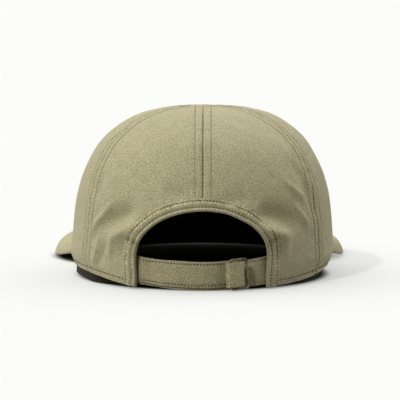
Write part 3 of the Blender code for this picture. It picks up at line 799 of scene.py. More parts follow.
def make_weave_group():
    """Wales, yarns and mottling from cloth coordinates in millimetres."""
    sockets = [("Cloth", "NodeSocketVector"), ("Wale", "NodeSocketFloat")]
    tree, given, result = new_group("twill_weave", sockets, ["Height", "Tone"])
    cloth, wale = given["Cloth"], given["Wale"]
    side, up = parts(tree, cloth)[:2]
    sway = noise(tree, cloth, SWAY_SCALE, 1.0, "2D")
    slope = weighted(tree, side, WALE_WAY[0], up, WALE_WAY[1])
    count = calc(tree, "ADD", calc(tree, "DIVIDE", slope, wale), sway)
    wales = calc(tree, "SINE", calc(tree, "MULTIPLY", count, math.tau))
    other = weighted(tree, side, WALE_WAY[1], up, -WALE_WAY[0])
    yarns = calc(tree, "SINE", calc(tree, "MULTIPLY", calc(tree, "DIVIDE", other, wale), YARN_TURN))
    slub = calc(tree, "SUBTRACT", noise(tree, cloth, SLUB_SCALE, 2.0, "2D"), 0.5)
    mottle = calc(tree, "SUBTRACT", noise(tree, cloth, MOTTLE_SCALE, 2.0, "2D"), 0.5)
    weave = weighted(tree, wales, WALE_HEIGHT, yarns, YARN_HEIGHT)
    feed(tree, result["Height"], weighted(tree, weave, 1.0, slub, SLUB_HEIGHT))
    tone = weighted(tree, slub, SLUB_TONE, mottle, MOTTLE_TONE)
    tone = weighted(tree, tone, 1.0, weave, WEAVE_TONE)
    feed(tree, result["Tone"], calc(tree, "ADD", tone, 0.5))
    return tree


def make_row_group():
    """Painted shade and a dent along the pressed line under stitches. Row holds the distance across it, along
    it, and 1 where it is sewn.
    """
    tree, given, result = new_group("pressed_rows", [("Row", "NodeSocketVector")], list(ROW_WIDTHS))
    row = parts(tree, given["Row"])
    across = calc(tree, "ABSOLUTE", row[0])
    for label, width in ROW_WIDTHS.items():
        near = calc(tree, "SUBTRACT", 1.0, calc(tree, "DIVIDE", across, width))
        feed(tree, result[label], calc(tree, "MULTIPLY", calc(tree, "MAXIMUM", near, 0.0), row[2]))
    return tree


weave_group = make_weave_group()
row_group = make_row_group()
print("groups:", weave_group.name, row_group.name)

# %% Cloth materials
BUMP_DEPTH = 0.0002
KHAKI_TONES = ((0.390, 0.347, 0.190, 1.0), (0.668, 0.609, 0.365, 1.0))
STRAP_TONES = ((0.405, 0.358, 0.197, 1.0), (0.640, 0.580, 0.345, 1.0))
LINING_TONES = ((0.030, 0.028, 0.016, 1.0), (0.062, 0.057, 0.034, 1.0))
TAPE_TONES = ((0.060, 0.054, 0.034, 1.0), (0.115, 0.103, 0.066, 1.0))
BAND_TONES = ((0.011, 0.010, 0.006, 1.0), (0.036, 0.034, 0.023, 1.0))
# painted shade: the colour that the cloth darkens to along its pressed stitch rows
ROW_SHADE = (0.150, 0.128, 0.066, 1.0)
ROW_DEPTH = 0.2
ROW_DIP = 0.8
MATT = 0.97
TONE_GLOSS = 0.12
SHEEN_TINT = (1.0, 0.96, 0.82, 1.0)


def cloth_material(name, dark, light, wale, sheen):
    """Woven cotton between two tones of its colour, with painted shade and dents along stitch rows where the
    piece is sewn.
    """
    material, tree, shader = new_material(name)
    cloth_map = put(tree, "ShaderNodeUVMap", uv_map="cloth").outputs[0]
    cloth = put(tree, "ShaderNodeVectorMath", {0: cloth_map, "Scale": CLOTH_UNIT}, operation="SCALE")
    woven = {"Cloth": cloth.outputs[0], "Wale": wale}
    weave = put(tree, "ShaderNodeGroup", woven, node_tree=weave_group).outputs
    row = put(tree, "ShaderNodeAttribute", attribute_name="row").outputs["Vector"]
    pressed = put(tree, "ShaderNodeGroup", {"Row": row}, node_tree=row_group).outputs
    colour = blend_colours(tree, weave["Tone"], dark, light)
    # painted shade along the stitch rows
    shade = calc(tree, "MULTIPLY", pressed["Shade"], ROW_DEPTH)
    feed(tree, shader.inputs["Base Color"], blend_colours(tree, shade, colour, ROW_SHADE))
    height = calc(tree, "SUBTRACT", weave["Height"], calc(tree, "MULTIPLY", pressed["Dip"], ROW_DIP))
    feed(tree, shader.inputs["Normal"], bumped(tree, height, BUMP_DEPTH))
    rough = calc(tree, "SUBTRACT", MATT, calc(tree, "MULTIPLY", weave["Tone"], TONE_GLOSS))
    feed(tree, shader.inputs["Roughness"], rough)
    shader.inputs["Specular IOR Level"].default_value = 0.2
    shader.inputs["Sheen Weight"].default_value = sheen
    shader.inputs["Sheen Roughness"].default_value = 0.45
    shader.inputs["Sheen Tint"].default_value = SHEEN_TINT
    return material


khaki = cloth_material("khaki_twill", *KHAKI_TONES, wale=1.05, sheen=0.42)
strap_khaki = cloth_material("strap_twill", *STRAP_TONES, wale=1.05, sheen=0.2)
lining = cloth_material("lining_cotton", *LINING_TONES, wale=0.7, sheen=0.05)
tape_cotton = cloth_material("tape_cotton", *TAPE_TONES, wale=0.6, sheen=0.05)
band_cotton = cloth_material("sweatband_cotton", *BAND_TONES, wale=1.5, sheen=0.02)
print("cloth materials ready")

# %% [markdown]
# ## Crown panels
# Six panels, each a tall triangle with curved sides, make the crown. The two back panels are cut away for
# the opening. A cut by a boolean would leave a ragged edge, so their grids are drawn to fit instead: each
# column of points starts on the opening's edge or on the rim, and runs up to the button.

# %% Panels
PANEL_CLOTH = 1.0
PANEL_ROWS = 150
SIDE_COLUMNS = 105
BACK_COLUMNS = (50, 16, 44)
BACK_TOPS = (-90, -62, -50, -30)
COLUMN_EASE = 4
TOP_HOLE = 3.2
SEAM_GAP = 0.17
ROW_REACH = 4.0
ROW_FADE = 2.0


def back_panel_columns(shift, mirrored):
    """Lower end (angle and height) and upper angle of each column of a back panel, as seen on the right."""
    arch_count, side_count, rim_count = BACK_COLUMNS
    x, z = arch_point(np.linspace(math.pi / 2, 0, arch_count), ARCH_EDGE)
    x = np.clip(x - ARCH_SHIFT, 0, None) * (1 + shift / ARCH_HALF)
    foot = math.pi - FOOT_ANGLE if mirrored else FOOT_ANGLE
    side_z = np.linspace(ARCH_SPRING, float(rim_z(foot)), side_count)[1:]
    side_angle = back_angle(ARCH_HALF + ARCH_EDGE + shift, side_z)
    rim_angle = np.linspace(side_angle[-1], math.radians(BACK_TOPS[-1]), rim_count)[1:]
    low_angle = np.concatenate([back_angle(x, z), side_angle, rim_angle])
    low_z = np.concatenate([z, side_z, rim_z(math.pi - rim_angle if mirrored else rim_angle)])
    tops = [np.linspace(*ends, count)[1:] for ends, count in zip(itertools.pairwise(BACK_TOPS), BACK_COLUMNS)]
    return low_angle, low_z, np.radians(np.concatenate([BACK_TOPS[:1], *tops]))


def panel_columns(name, number):
    """Lower ends and upper angles of the columns of any panel."""
    start = SEAM_START + number * SEAM_STEP
    if name == "panel_back_right":
        return back_panel_columns(ARCH_SHIFT, False)
    if name == "panel_back_left":
        low_angle, low_z, top = back_panel_columns(-ARCH_SHIFT, True)
        return (math.pi - low_angle)[::-1], low_z[::-1], (math.pi - top)[::-1]
    angle = np.linspace(start, start + SEAM_STEP, SIDE_COLUMNS)
    return angle, rim_z(angle), angle


def stitch_row_at(angle, z):
    """Signed distance across the nearest stitch row of the crown and the distance along it."""
    seam_across = np.abs(seam_distance(angle, z)[0]) - SEAM_ROW
    hem_across = z - rim_z(angle) - HEM_ROW
    by_seam = np.abs(seam_across) < np.abs(hem_across)
    across = np.where(by_seam, seam_across, hem_across)
    along = np.where(by_seam, climb(z), angle * CROWN_HALF)
    fade = smooth((CROWN_TOP - z) / ROW_FADE)
    return np.stack([np.clip(across, -ROW_REACH, ROW_REACH), along, fade], -1)


def make_panel(name, number):
    """A panel's mesh, and how many of its faces lie outside."""
    low_angle, low_z, top_angle = panel_columns(name, number)
    share = np.linspace(0, 1, PANEL_ROWS + 1)[None, :]
    top_climb = climb(dome_height(TOP_HOLE / CROWN_HALF))
    z = height_at(mix(climb(low_z)[:, None], top_climb, share))
    angle = mix(low_angle[:, None], top_angle[:, None], 1 - (1 - share) ** COLUMN_EASE)
    angle[0] += SEAM_GAP / around(angle[0], z[0])
    angle[-1] -= SEAM_GAP / around(angle[-1], z[-1])
    outer, inner = cloth_point(angle, z), layer_point(angle, z, -PANEL_CLOTH)
    middle = SEAM_START + (number + 0.5) * SEAM_STEP
    mirror = -1 if name.endswith("left") else 1
    cloth = np.stack([mirror * (angle - middle) * around(angle, z), climb(z)], -1)
    mesh = make_sheet(name + "_cloth", outer, inner, cloth, stitch_row_at(angle, z))
    return mesh, (outer.shape[0] - 1) * (outer.shape[1] - 1)


PANEL_NAMES = [
    "panel_back_right", "panel_side_right", "panel_front_right",
    "panel_front_left", "panel_side_left", "panel_back_left",
]
for number, name in enumerate(PANEL_NAMES):
    mesh, outer_count = make_panel(name, number)
    inside = np.ones(len(mesh.polygons), int)
    inside[:outer_count] = 0
    dress(mesh, [khaki, lining], "cap", "twill", name)
    mesh.polygons.foreach_set("material_index", inside)

# %% [markdown]
# ## Binding round the opening
# A folded strip of the same twill is sewn over the raw edge of the opening. Its two stitch rows press it
# into three soft ridges. It is a closed section swept along the opening, and each point of the section is
# set on the crown, so the binding bends with it.

# %% Binding
BINDING_WIDTH = 8.0
BINDING_ROWS = (2.5, 6.4)
BINDING_STEPS = 360
BINDING_PUCKER = 0.20
BINDING_SWELL = 0.15
BINDING_SWAY = 0.25
SECTION_OUTSIDE = 0.4
SECTION_LENGTH = 3.0
SEWN_LEVEL = -0.1
SEWN_OUT = 1.0
ARCH_SIDE_STEPS = 19
ARCH_OVER_STEPS = 120
FOOT_EASE = 14.0
BINDING_SECTION = [
    (8.0, -0.05), (7.7, 0.22), (7.2, 0.42), (6.8, 0.36), (6.4, 0.22), (6.0, 0.38), (5.4, 0.68),
    (4.5, 0.85), (3.6, 0.72), (3.0, 0.45), (2.5, 0.22), (2.1, 0.48), (1.6, 0.85), (1.0, 1.00),
    (0.4, 0.80), (0.05, 0.25), (0.0, -0.7), (0.25, -1.5), (0.8, -2.0), (3.0, -2.25), (5.5, -2.25),
    (8.0, -2.2), (8.0, -1.55), (4.0, -1.5), (1.2, -1.2), (0.9, -0.7), (1.0, -0.3), (3.0, -0.3),
    (5.5, -0.3), (7.7, -0.3),
]


def arch_stations(count):
    """Even points up the opening's left side, over it and down its right side, with the way out: x and z."""
    side_z = np.linspace(FOOT_Z, ARCH_SPRING, ARCH_SIDE_STEPS, endpoint=False)
    turn = np.linspace(math.pi, 0, ARCH_OVER_STEPS)
    x, z = arch_point(turn, 0.0)
    x_out, z_out = arch_point(turn, 1.0)
    left = stacked(ARCH_SHIFT - ARCH_HALF, side_z, -1.0, 0.0)
    over = np.stack([x, z, x_out - x, z_out - z], -1)
    right = (left * (1, 1, -1, 1) + (2 * ARCH_HALF, 0, 0, 0))[::-1]
    path = np.concatenate([left, over, right])
    length = lengths(path[:, :2])
    even = np.linspace(0, length[-1], count)
    return np.stack([np.interp(even, length, column) for column in path.T], -1), even


def binding_point(station, out, height):
    """A point of the binding: out from the opening's edge, and at a height over the crown."""
    x = station[..., 0] + station[..., 2] * out
    z = station[..., 1] + station[..., 3] * out
    angle = back_angle(x, z)
    z = z + (rim_z(angle) - FOOT_Z) * (1 - smooth((z - FOOT_Z) / FOOT_EASE))
    return layer_point(angle, z, height)


def make_binding():
    """The binding's section, swept along the opening and puckered on its outside."""
    stations, along = arch_stations(BINDING_STEPS)
    out, level = np.array(BINDING_SECTION).T
    place = along[:, None]
    pucker = BINDING_PUCKER * noise_at(21, place / 3.3, out / 6 + 4, 2)
    swell = BINDING_SWELL * noise_at(22, place / 15, out / 20 + 4, 5)
    height = level + (pucker + swell) * smooth(level / SECTION_OUTSIDE + 0.5)
    edge_sway = out + BINDING_SWAY * noise_at(23, place / 9, 1, 1)
    rings = binding_point(stations[:, None, :], edge_sway, height)
    middle = sum(BINDING_ROWS) / 2
    across = np.abs(out - middle) - (BINDING_ROWS[1] - middle)
    row = stacked(across, place, (level > SEWN_LEVEL) * (out > SEWN_OUT))
    return make_tube("binding_cloth", rings, stacked(place, out + SECTION_LENGTH * level), row)


dress(make_binding(), [khaki], "cap", "twill", "arch_binding")

# %% [markdown]
# ## Visor
# A stiff board lies between two covers. The top cover turns down round the board's edge, which gives the
# visor its rounded rim; the under cover closes it from below. Both are grids from the root, hidden under
# the crown, to the edge, and both reach a little past the board at the corners and shut there. The board
# stays as the CAD made it, because nothing of it shows.

# %% Visor covers
VISOR_COVER = 0.8
VISOR_TUCK = 1.5
VISOR_ROLL = 3.8
VISOR_PAD = 2.8
VISOR_UNDER_DEPTH = 3.2
VISOR_ROWS = 46
ROLL_ROWS = 7
ROLL_FALL = 0.95
ASIDE_ROUND = 0.6
DROP_ROUND = 0.5
PAD_EASE = 4
VISOR_SWELL = 0.25
VISOR_FINE_SWELL = 0.08
UNDER_ROLL = 0.5
UNDER_INSET = 0.3
UNDER_LIP = 0.4
LIP_START = 0.02
CORNER_STEPS = np.array([1.5, 1.1, 0.6])
CORNER_OUT = 1.1
CORNER_COLUMNS = 10
CORNER_EASE = 14
CORNER_ROLL = 0.1


def right_of(way):
    """Unit vectors to the right of plan directions."""
    return unit(np.stack([way[..., 1], -way[..., 0]], -1))


def past_corner(from_end):
    """0 in the visor's corners, easing to 1 along its edge."""
    return smooth((from_end[:, None] - CORNER_COLUMNS) / CORNER_EASE)


def visor_columns():
    """Plan points of root and edge, the way out across the edge, and the count of columns from an end."""
    edge = np.stack(visor_outline(), -1)
    length = lengths(edge)
    angle = VISOR_FRONT + mix(-VISOR_HALF_ANGLE, VISOR_HALF_ANGLE, length / length[-1])
    surface, out = crown_surface(angle, rim_z(angle))
    root = (surface - out * VISOR_TUCK)[:, :2]
    way = right_of(np.gradient(edge, axis=0))
    before = CORNER_STEPS[:, None] * right_of(edge[0] - root[0])
    after = -CORNER_STEPS[::-1, None] * right_of(edge[-1] - root[-1])
    root = np.concatenate([root[0] + before, root, root[-1] + after])
    edge = np.concatenate([edge[0] + before, edge, edge[-1] + after])
    way = np.concatenate([way[0] + 0 * before, way, way[-1] + 0 * after])
    from_end = np.minimum(np.arange(len(edge)), np.arange(len(edge))[::-1])
    edge = edge + way * CORNER_OUT * (1 - past_corner(from_end))
    return root, edge, way, from_end


def visor_face(columns, roll, inset, depth, low, pad):
    """One face of a cover: flat rows from the root, then a slope over the edge to depth low."""
    root, edge, way, from_end = columns
    full = past_corner(from_end)
    pad = pad * full
    roll = roll * mix(CORNER_ROLL, 1.0, full)
    fall = ROLL_FALL * (low + pad - depth)
    end = edge - way * (roll + inset)
    share = np.linspace(0, 1, VISOR_ROWS)
    flat = mix(root[:, None], end[:, None], share[None, :, None])
    turn = np.linspace(0, 1, ROLL_ROWS)[1:]
    aside = mix(turn, np.sin(turn * math.pi / 2), ASIDE_ROUND)
    drop = mix(turn, 1 - np.cos(turn * math.pi / 2), DROP_ROUND)
    rolled = end[:, None] + way[:, None] * (roll * aside)[..., None]
    plan = np.concatenate([flat, rolled, rolled[:, -1:]], axis=1)
    padded = depth - pad * smooth(share * PAD_EASE)
    down = np.concatenate([padded, depth - pad + fall * drop, low + 0 * pad], axis=1)
    z = visor_top(plan[..., 0], plan[..., 1]) - np.where(from_end[:, None] == 0, low, down)
    return np.concatenate([plan, z[..., None]], axis=-1)


def visor_cloth(face):
    """Cloth map of a face: its plan at the root, and lengths along the cloth from there."""
    steps = np.linalg.norm(np.diff(face, axis=1, prepend=face[:, :1]), axis=2)
    way = unit(face[:, -1, :2] - face[:, 0, :2])
    return face[:, :1, :2] + way[:, None] * np.cumsum(steps, axis=1)[..., None]


def top_face(columns, inset):
    """A face of the top cover, some millimetres inside its outer one, slightly uneven over the board."""
    low = VISOR_UNDER_DEPTH - CLEAR
    face = visor_face(columns, VISOR_ROLL - inset, inset, inset, low, VISOR_PAD)
    swell = soft_noise(face / 26 + 10, 31) * VISOR_SWELL + soft_noise(face / 9 + 10, 32) * VISOR_FINE_SWELL
    face[..., 2] += swell
    return face


def under_face(columns, depth, low, lip):
    """A face of the under cover, with its edge turned up by the lip."""
    face = visor_face(columns, UNDER_ROLL, UNDER_INSET, depth, low, 0.0)
    face[:, VISOR_ROWS:, 2] = face[:, VISOR_ROWS - 1:VISOR_ROWS, 2] + lip
    return face


columns = visor_columns()
outer, inner = top_face(columns, 0.0), top_face(columns, VISOR_COVER)
top_cover = make_sheet("visor_top_cloth", outer, inner, visor_cloth(outer))
dress(top_cover, [khaki], "cap", "twill", "visor_top_cover")
lip = np.linspace(LIP_START, UNDER_LIP, ROLL_ROWS)
outer = under_face(columns, VISOR_STACK, VISOR_STACK - UNDER_LIP, lip)
inner = under_face(columns, VISOR_UNDER_DEPTH, VISOR_UNDER_DEPTH, 0.0)
under_cover = make_sheet("visor_under_cloth", outer, inner, visor_cloth(outer))
dress(under_cover, [khaki], "cap", "twill", "visor_under_cover")

# %% [markdown]
# ## Sweatband
# A dark cotton band lines the rim. The cap stands on its lower edge, which shows under the crown at both
# sides, and its two ends show as narrow strips just inside the opening. It is one long grid inside the
# crown, deeper at the back where the strap's ends are sewn in between the band and the panels, so the
# strap's own form comes first. Its lower edge is raised at the front and a little at the left.

# %% Strap formula
STRAP_WIDTH = 15.8
STRAP_CLOTH = 0.8
STRAP_BOTTOM = 2.0
STRAP_SET_IN = 4.6
STRAP_RADIUS = 65.0
STRAP_TILT = math.radians(12)
STRAP_END = 53.0
STRAP_AXIS = np.array([0, -math.sin(STRAP_TILT), math.cos(STRAP_TILT)])
STRAP_BACK = np.array([0, -math.cos(STRAP_TILT), -math.sin(STRAP_TILT)])
STRAP_CENTRE = np.array([0, STRAP_SET_IN - BACK_REACH, STRAP_BOTTOM]) - STRAP_BACK * STRAP_RADIUS


def strap_point(along, up, height):
    """along: round the strap from the middle, up: across its width, height: off its inner face."""
    along, up, height = np.broadcast_arrays(along, up, height)
    turn = along / STRAP_RADIUS
    radius = STRAP_RADIUS - up * math.sin(STRAP_TILT) + height * math.cos(STRAP_TILT)
    level = up * math.cos(STRAP_TILT) + height * math.sin(STRAP_TILT)
    sideways = np.stack([np.sin(turn), 0 * turn, 0 * turn], -1)
    outward = sideways + STRAP_BACK * np.cos(turn)[..., None]
    return STRAP_CENTRE + STRAP_AXIS * level[..., None] + outward * radius[..., None]


print("strap's middle at", strap_point(0.0, STRAP_WIDTH / 2, 0.0).round(1))

# %% Sweatband
BAND_CLOTH = 1.2
BAND_DEPTH = 2.2
BAND_RISE = 26.0
BAND_FRONT_Z = 8.6
BAND_LIFT = 2.4
BAND_LIFT_ANGLE = math.radians(-168)
BAND_LIFT_REACH = math.radians(17)
BAND_END_SHOWS = 1.8
BAND_EASE = 18.0
BAND_LEAN = 2.4
BAND_SKIRT = math.radians(11)
BAND_SKIRT_SHARE = 0.55
BAND_WAVE = 0.3
BAND_GAP = 0.15
BAND_COLUMNS = 300
BAND_ROWS = 15


def strap_end_depth():
    """How far the strap's sewn end lies below the crown's outer face."""
    end = strap_point(STRAP_END, STRAP_WIDTH, 0.0)
    surface, out = crown_surface(back_angle(end[0], end[2]), end[2])
    return float(np.dot(surface - end, out))


def band_depth(angle):
    """Depth of the band's outer face: its ends lie behind the straps."""
    surface, _ = crown_surface(angle, np.full(np.shape(angle), WIDEST_Z))
    behind = strap_end_depth() + 2 * CLEAR
    past = np.abs(surface[..., 0]) - strap_point(STRAP_END, 0.0, 0.0)[0] - behind
    return np.where(surface[..., 1] > 0, BAND_DEPTH, mix(behind, BAND_DEPTH, smooth(past / BAND_EASE)))


def band_face(angle, share, depth):
    """Points of a face of the band, by angle and by share of its height."""
    lift = BAND_LIFT * bell(from_angle(angle, BAND_LIFT_ANGLE), 0, BAND_LIFT_REACH)
    low = BAND_FRONT_Z * visor_share(angle) + lift
    z = mix(low, rim_z(angle) + BAND_RISE, share)
    surface, out = crown_surface(angle, z)
    wave = noise_at(41, angle * 7 + 40, share * 2, 2) * BAND_WAVE * (1 - share)
    face = surface - out * (band_depth(angle) + depth + wave + BAND_GAP)[..., None]
    face[..., 0] -= BAND_LEAN * np.cos(angle) ** 2 * (1 - share) ** 3
    face[..., 2] = z
    return face


def band_end():
    """The angle of the band's end, which shows a little inside the opening's side."""
    angle = np.linspace(FOOT_ANGLE, FOOT_ANGLE + 0.3, 200)
    face = band_face(angle, 0.5, BAND_CLOTH)
    return float(np.interp(ARCH_HALF - BAND_END_SHOWS, face[:, 0], angle))


def make_sweatband():
    """One long sheet inside the crown, whose right end slants behind the strap."""
    along, share = np.meshgrid(np.linspace(0, 1, BAND_COLUMNS), np.linspace(0, 1, BAND_ROWS), indexing="ij")
    skirt = BAND_SKIRT * (1 - smooth(share / BAND_SKIRT_SHARE))
    angle = mix(band_end() - skirt, math.pi - band_end(), along)
    outer, inner = [band_face(angle, share, depth) for depth in (0.0, BAND_CLOTH)]
    cloth = np.stack([angle * CROWN_HALF, outer[..., 2]], -1)
    return make_sheet("sweatband_cloth", outer, inner, cloth)


dress(make_sweatband(), [band_cotton], "cap", "sweatband", "sweatband")

# %% [markdown]
# ## Seam tapes and button
# Inside the crown, a narrow cotton tape covers each seam, ending in a point under the button. On top, a
# small disc covered with twill hides the place where the panels meet; its cloth is gathered under it, so
# its rim puckers.

# %% Seam tapes
TAPE_WIDTH = 12.0
TAPE_CLOTH = 0.6
TAPE_DEPTH = 1.3
TAPE_TOP_RADIUS = 5.5
TAPE_POINT = math.tan(math.radians(24))
TAPE_ROWS = 90
TAPE_COLUMNS = 9
RIM_GAP = 1.0
TAPE_NAMES = [
    "seam_tape_back", "seam_tape_side_back_right", "seam_tape_side_front_right",
    "seam_tape_front", "seam_tape_side_front_left", "seam_tape_side_back_left",
]


def seam_foot(number, gap):
    """Height where sewing along a seam begins: over the binding at the back, over the rim elsewhere."""
    if number == 0:
        return ARCH_SPRING + ARCH_RISE + BINDING_WIDTH + gap
    return float(rim_z(SEAM_START + number * SEAM_STEP)) + RIM_GAP


def make_tape(name, number):
    """A tape along a seam, with a point at its upper end."""
    middle = SEAM_START + number * SEAM_STEP
    reach = math.hypot(CROWN_HALF * math.cos(middle), float(crown_reach(middle)) * math.sin(middle))
    high = float(dome_height(TAPE_TOP_RADIUS / reach))
    z = height_at(np.linspace(climb(seam_foot(number, CLEAR)), climb(high), TAPE_ROWS))[None, :]
    scale, _ = crown_scale(z)
    half = np.minimum(TAPE_WIDTH / 2, reach * scale * TAPE_POINT)
    aside = np.linspace(-1, 1, TAPE_COLUMNS)[:, None] * half
    angle, z = np.broadcast_arrays(middle + aside / around(middle, z), z)
    outer, inner = [layer_point(angle, z, -TAPE_DEPTH - cloth) for cloth in (0.0, TAPE_CLOTH)]
    return make_sheet(name + "_cloth", outer, inner, np.stack([aside, climb(z)], -1))


for number, name in enumerate(TAPE_NAMES):
    dress(make_tape(name, number), [tape_cotton], "cap", "seam_tape", name)

# %% Button
BUTTON_RADIUS = 6.5
BUTTON_HEIGHT = 0.7
BUTTON_SIDES = 64
BUTTON_RINGS = 12
BUTTON_ROUND = 0.6
BUTTON_TUCK = 1.2
BUTTON_SINK = 0.5
BUTTON_MIDDLE = 0.35
GATHERS = ((17, 0.12, 0), (11, 0.10, 1))


def make_button():
    """A low dome with a gathered rim."""
    base = CROWN_TOP + CLEAR - 0.1
    rise = np.linspace(0, math.pi / 2, BUTTON_RINGS)
    dome = BUTTON_RADIUS * np.cos(rise[:-1]) ** BUTTON_ROUND
    radius = np.concatenate([[BUTTON_RADIUS - BUTTON_TUCK], dome, [BUTTON_MIDDLE]])
    level = np.concatenate([[base - BUTTON_SINK], base + BUTTON_HEIGHT * np.sin(rise)])
    turn = np.linspace(0, math.tau, BUTTON_SIDES, endpoint=False)
    gather = sum(size * np.sin(turn * count + start) for count, size, start in GATHERS)
    wide = radius[:, None] + gather[None, :] * smooth(radius / BUTTON_RADIUS - 0.2)[:, None]
    rings = settled(stacked(wide * np.cos(turn), wide * np.sin(turn), level[:, None]))
    return make_tube("button_cloth", rings, rings[..., :2])


dress(make_button(), [khaki], "cap", "twill", "top_button")

# %% [markdown]
# ## Strap, fold and slider
# The opening is closed by a strap in two layers. The long left strap lies outside; the right strap's tail
# runs behind it. The left strap's end is folded round the slider's middle bar and sewn down, and the
# whole fold can be drawn along the strap. The straps are flat tubes of cloth with a stitched ridge along
# each edge, and they sink behind the slider and dip before the fold.

# %% Straps
STRAP_UPS = (0.0, 0.25, 0.8, 1.4, 2.1, 2.8, 3.8, 5.5, 7.9)
STRAP_STEPS = 160
STRAP_SWAY = 0.22
STRAP_PUCKER = 0.09
STRAP_PUCKER_REACH = 4.0
ROW_DENT = 0.26
ROW_DENT_WIDTH = 0.6
EDGE_ROUND = 0.7
FRONT_ROUND = 0.35
BACK_ROUND = 0.25
STRAP_TAIL_END = 44.0
STRAP_TAIL_DROP = 1.4
STRAP_OUTER = 1.1
STRAP_ROW = 1.6
BUCKLE_BAR = 23.2
STRAP_HOLLOW = 1.8
HOLLOW_PLACE = 25.6
HOLLOW_REACH = 3.2
SWELL_PLACE = 40.0
SWELL_REACH = 7.0
SWELL_SHARE = 0.8
DIP = 1.4
DIP_PLACE = 15.0
DIP_REACH = 6.0
LEFT_RISE = 1.6
LEFT_RISE_PLACE = -40.5
LEFT_RISE_REACH = 4.0
STRETCH = 0.7
STRETCH_START = -42.0
STRETCH_RUN = 24.0
RIGHT_STRETCH = 0.8
RIGHT_STRETCH_START = 26.0
RIGHT_STRETCH_RUN = 9.0


def off_row(up):
    """Distance across the strap's nearest stitch row."""
    return np.abs(up - STRAP_WIDTH / 2) - STRAP_WIDTH / 2 + STRAP_ROW


def from_edge(up):
    """Distance from the strap's nearest edge."""
    return np.minimum(up, STRAP_WIDTH - up)


def edge_round(up):
    """1 at the strap's edges, easing to 0 just inside them."""
    return 1 - smooth(from_edge(up) / EDGE_ROUND)


def strap_section():
    """Points round a strap's section: up across its width and height off its inner face."""
    ups = np.array(STRAP_UPS)
    ups = np.concatenate([ups, STRAP_WIDTH - ups[-2::-1]])
    front = STRAP_CLOTH - ROW_DENT * bell(off_row(ups), 0, ROW_DENT_WIDTH) - FRONT_ROUND * edge_round(ups)
    back = BACK_ROUND * edge_round(ups)
    return np.concatenate([ups, ups[::-1]]), np.concatenate([front, back[::-1]])


def strap_bend(along, hollow):
    """The strap's sink and rise at the slider, its dip before the fold and its rise at the left."""
    sink = bell(along, HOLLOW_PLACE, HOLLOW_REACH)
    rise = bell(along, SWELL_PLACE, SWELL_REACH)
    dip = DIP * bell(along, DIP_PLACE, DIP_REACH)
    left = LEFT_RISE * bell(along, LEFT_RISE_PLACE, LEFT_RISE_REACH)
    return hollow * (SWELL_SHARE * rise - sink) - dip + left


def strap_stretch(along, up):
    """The strap's slightly greater width past its left end, all of it above the lower edge."""
    stretch = STRETCH * smooth((along - STRETCH_START) / STRETCH_RUN)
    stretch = stretch + RIGHT_STRETCH * smooth((along - RIGHT_STRETCH_START) / RIGHT_STRETCH_RUN)
    return up * (1 + stretch / STRAP_WIDTH)


def make_strap(name, start, end, drop, height, hollow, seed):
    """A strap between two places along its run, slightly swayed and puckered."""
    ups, offs = strap_section()
    along = np.linspace(start, end, STRAP_STEPS)[:, None]
    front = offs > STRAP_CLOTH / 2
    sway = noise_at(seed, along / 14 + 20, 3, 1) * STRAP_SWAY
    pucker = noise_at(seed + 1, along / 3.1 + 40, ups / 5, 1)
    pucker = STRAP_PUCKER * pucker * bell(from_edge(ups), 0, STRAP_PUCKER_REACH)
    lift = np.where(front, pucker, 0.0) + strap_bend(along, hollow)
    rings = strap_point(along, strap_stretch(along, ups) - drop + sway, height + offs + lift)
    return make_tube(name + "_cloth", rings, stacked(along, ups), stacked(off_row(ups), along, front))


left_strap = make_strap("strap_left", -STRAP_END, BUCKLE_BAR, 0.0, STRAP_OUTER, 0.0, 51)
right_strap = make_strap("strap_right", -STRAP_TAIL_END, STRAP_END, STRAP_TAIL_DROP, 0.0, STRAP_HOLLOW, 61)
dress(left_strap, [strap_khaki], "cap", "strap", "strap_left")
dress(right_strap, [strap_khaki], "cap", "strap", "strap_right")

# %% Fold
FOLD_CLOTH = 0.6
FOLD_BACK = 2.2
FOLD_TOP = 6.6
FOLD_LEFT = 14.2
FOLD_RIGHT = 24.3
FOLD_SEAM = 1.4
FOLD_SAG = 0.9
FOLD_EASE = 1.9
FOLD_STEPS = 26
FOLD_TURNS = 14
FOLD_WAVE = 0.10
FOLD_ROW_SHADE = 0.7
FOLD_MIDDLE = (FOLD_BACK + FOLD_TOP) / 2
FOLD_UPS = (0.1, 0.5, 1.2, 2.2, 4.0, 7.9, 11.8, 13.6, 14.6, 15.3, 15.7)


def fold_loop(grow, start):
    """Along the front, round the right end and back along the rear, moved in by grow: along and height."""
    half = (FOLD_TOP - FOLD_BACK) / 2 - grow
    run = np.linspace(start, FOLD_RIGHT, FOLD_STEPS)
    sag = FOLD_SAG * (1 - smooth((run - FOLD_LEFT) / FOLD_EASE))
    turn = np.linspace(math.pi / 2, -math.pi / 2, FOLD_TURNS)[1:-1]
    along = np.concatenate([run, FOLD_RIGHT + (FOLD_CLOTH - 0.5 * grow) * np.cos(turn), run[::-1]])
    height = FOLD_MIDDLE + np.concatenate([half - sag, half * np.sin(turn), 0 * run - half])
    return along[:, None], height[:, None]


def make_fold():
    """The strap's sewn end, a loop of cloth round the slider's middle bar."""
    along, height = fold_loop(0.0, FOLD_LEFT)
    inner_along, inner_height = fold_loop(FOLD_CLOTH, FOLD_LEFT + FOLD_SEAM)
    ups = np.array(FOLD_UPS)
    inset = BACK_ROUND * edge_round(ups) * np.sign(height - FOLD_MIDDLE)
    wave = FOLD_WAVE * noise_at(71, along / 3, ups / 3, height)
    outer = strap_point(along, ups, height - inset + wave)
    inner = strap_point(inner_along, ups, inner_height)
    row = stacked(off_row(ups), along, FOLD_ROW_SHADE)
    return make_sheet("fold_cloth", outer, inner, stacked(along, ups), row)


dress(make_fold(), [strap_khaki], "strap_slider", "strap", "strap_fold")

# %% [markdown]
# The slider is bent from thick wire: a rounded frame with one bar across it. Its antique finish is brass
# that was darkened and then rubbed bright again, so its colour and gloss change in soft patches.

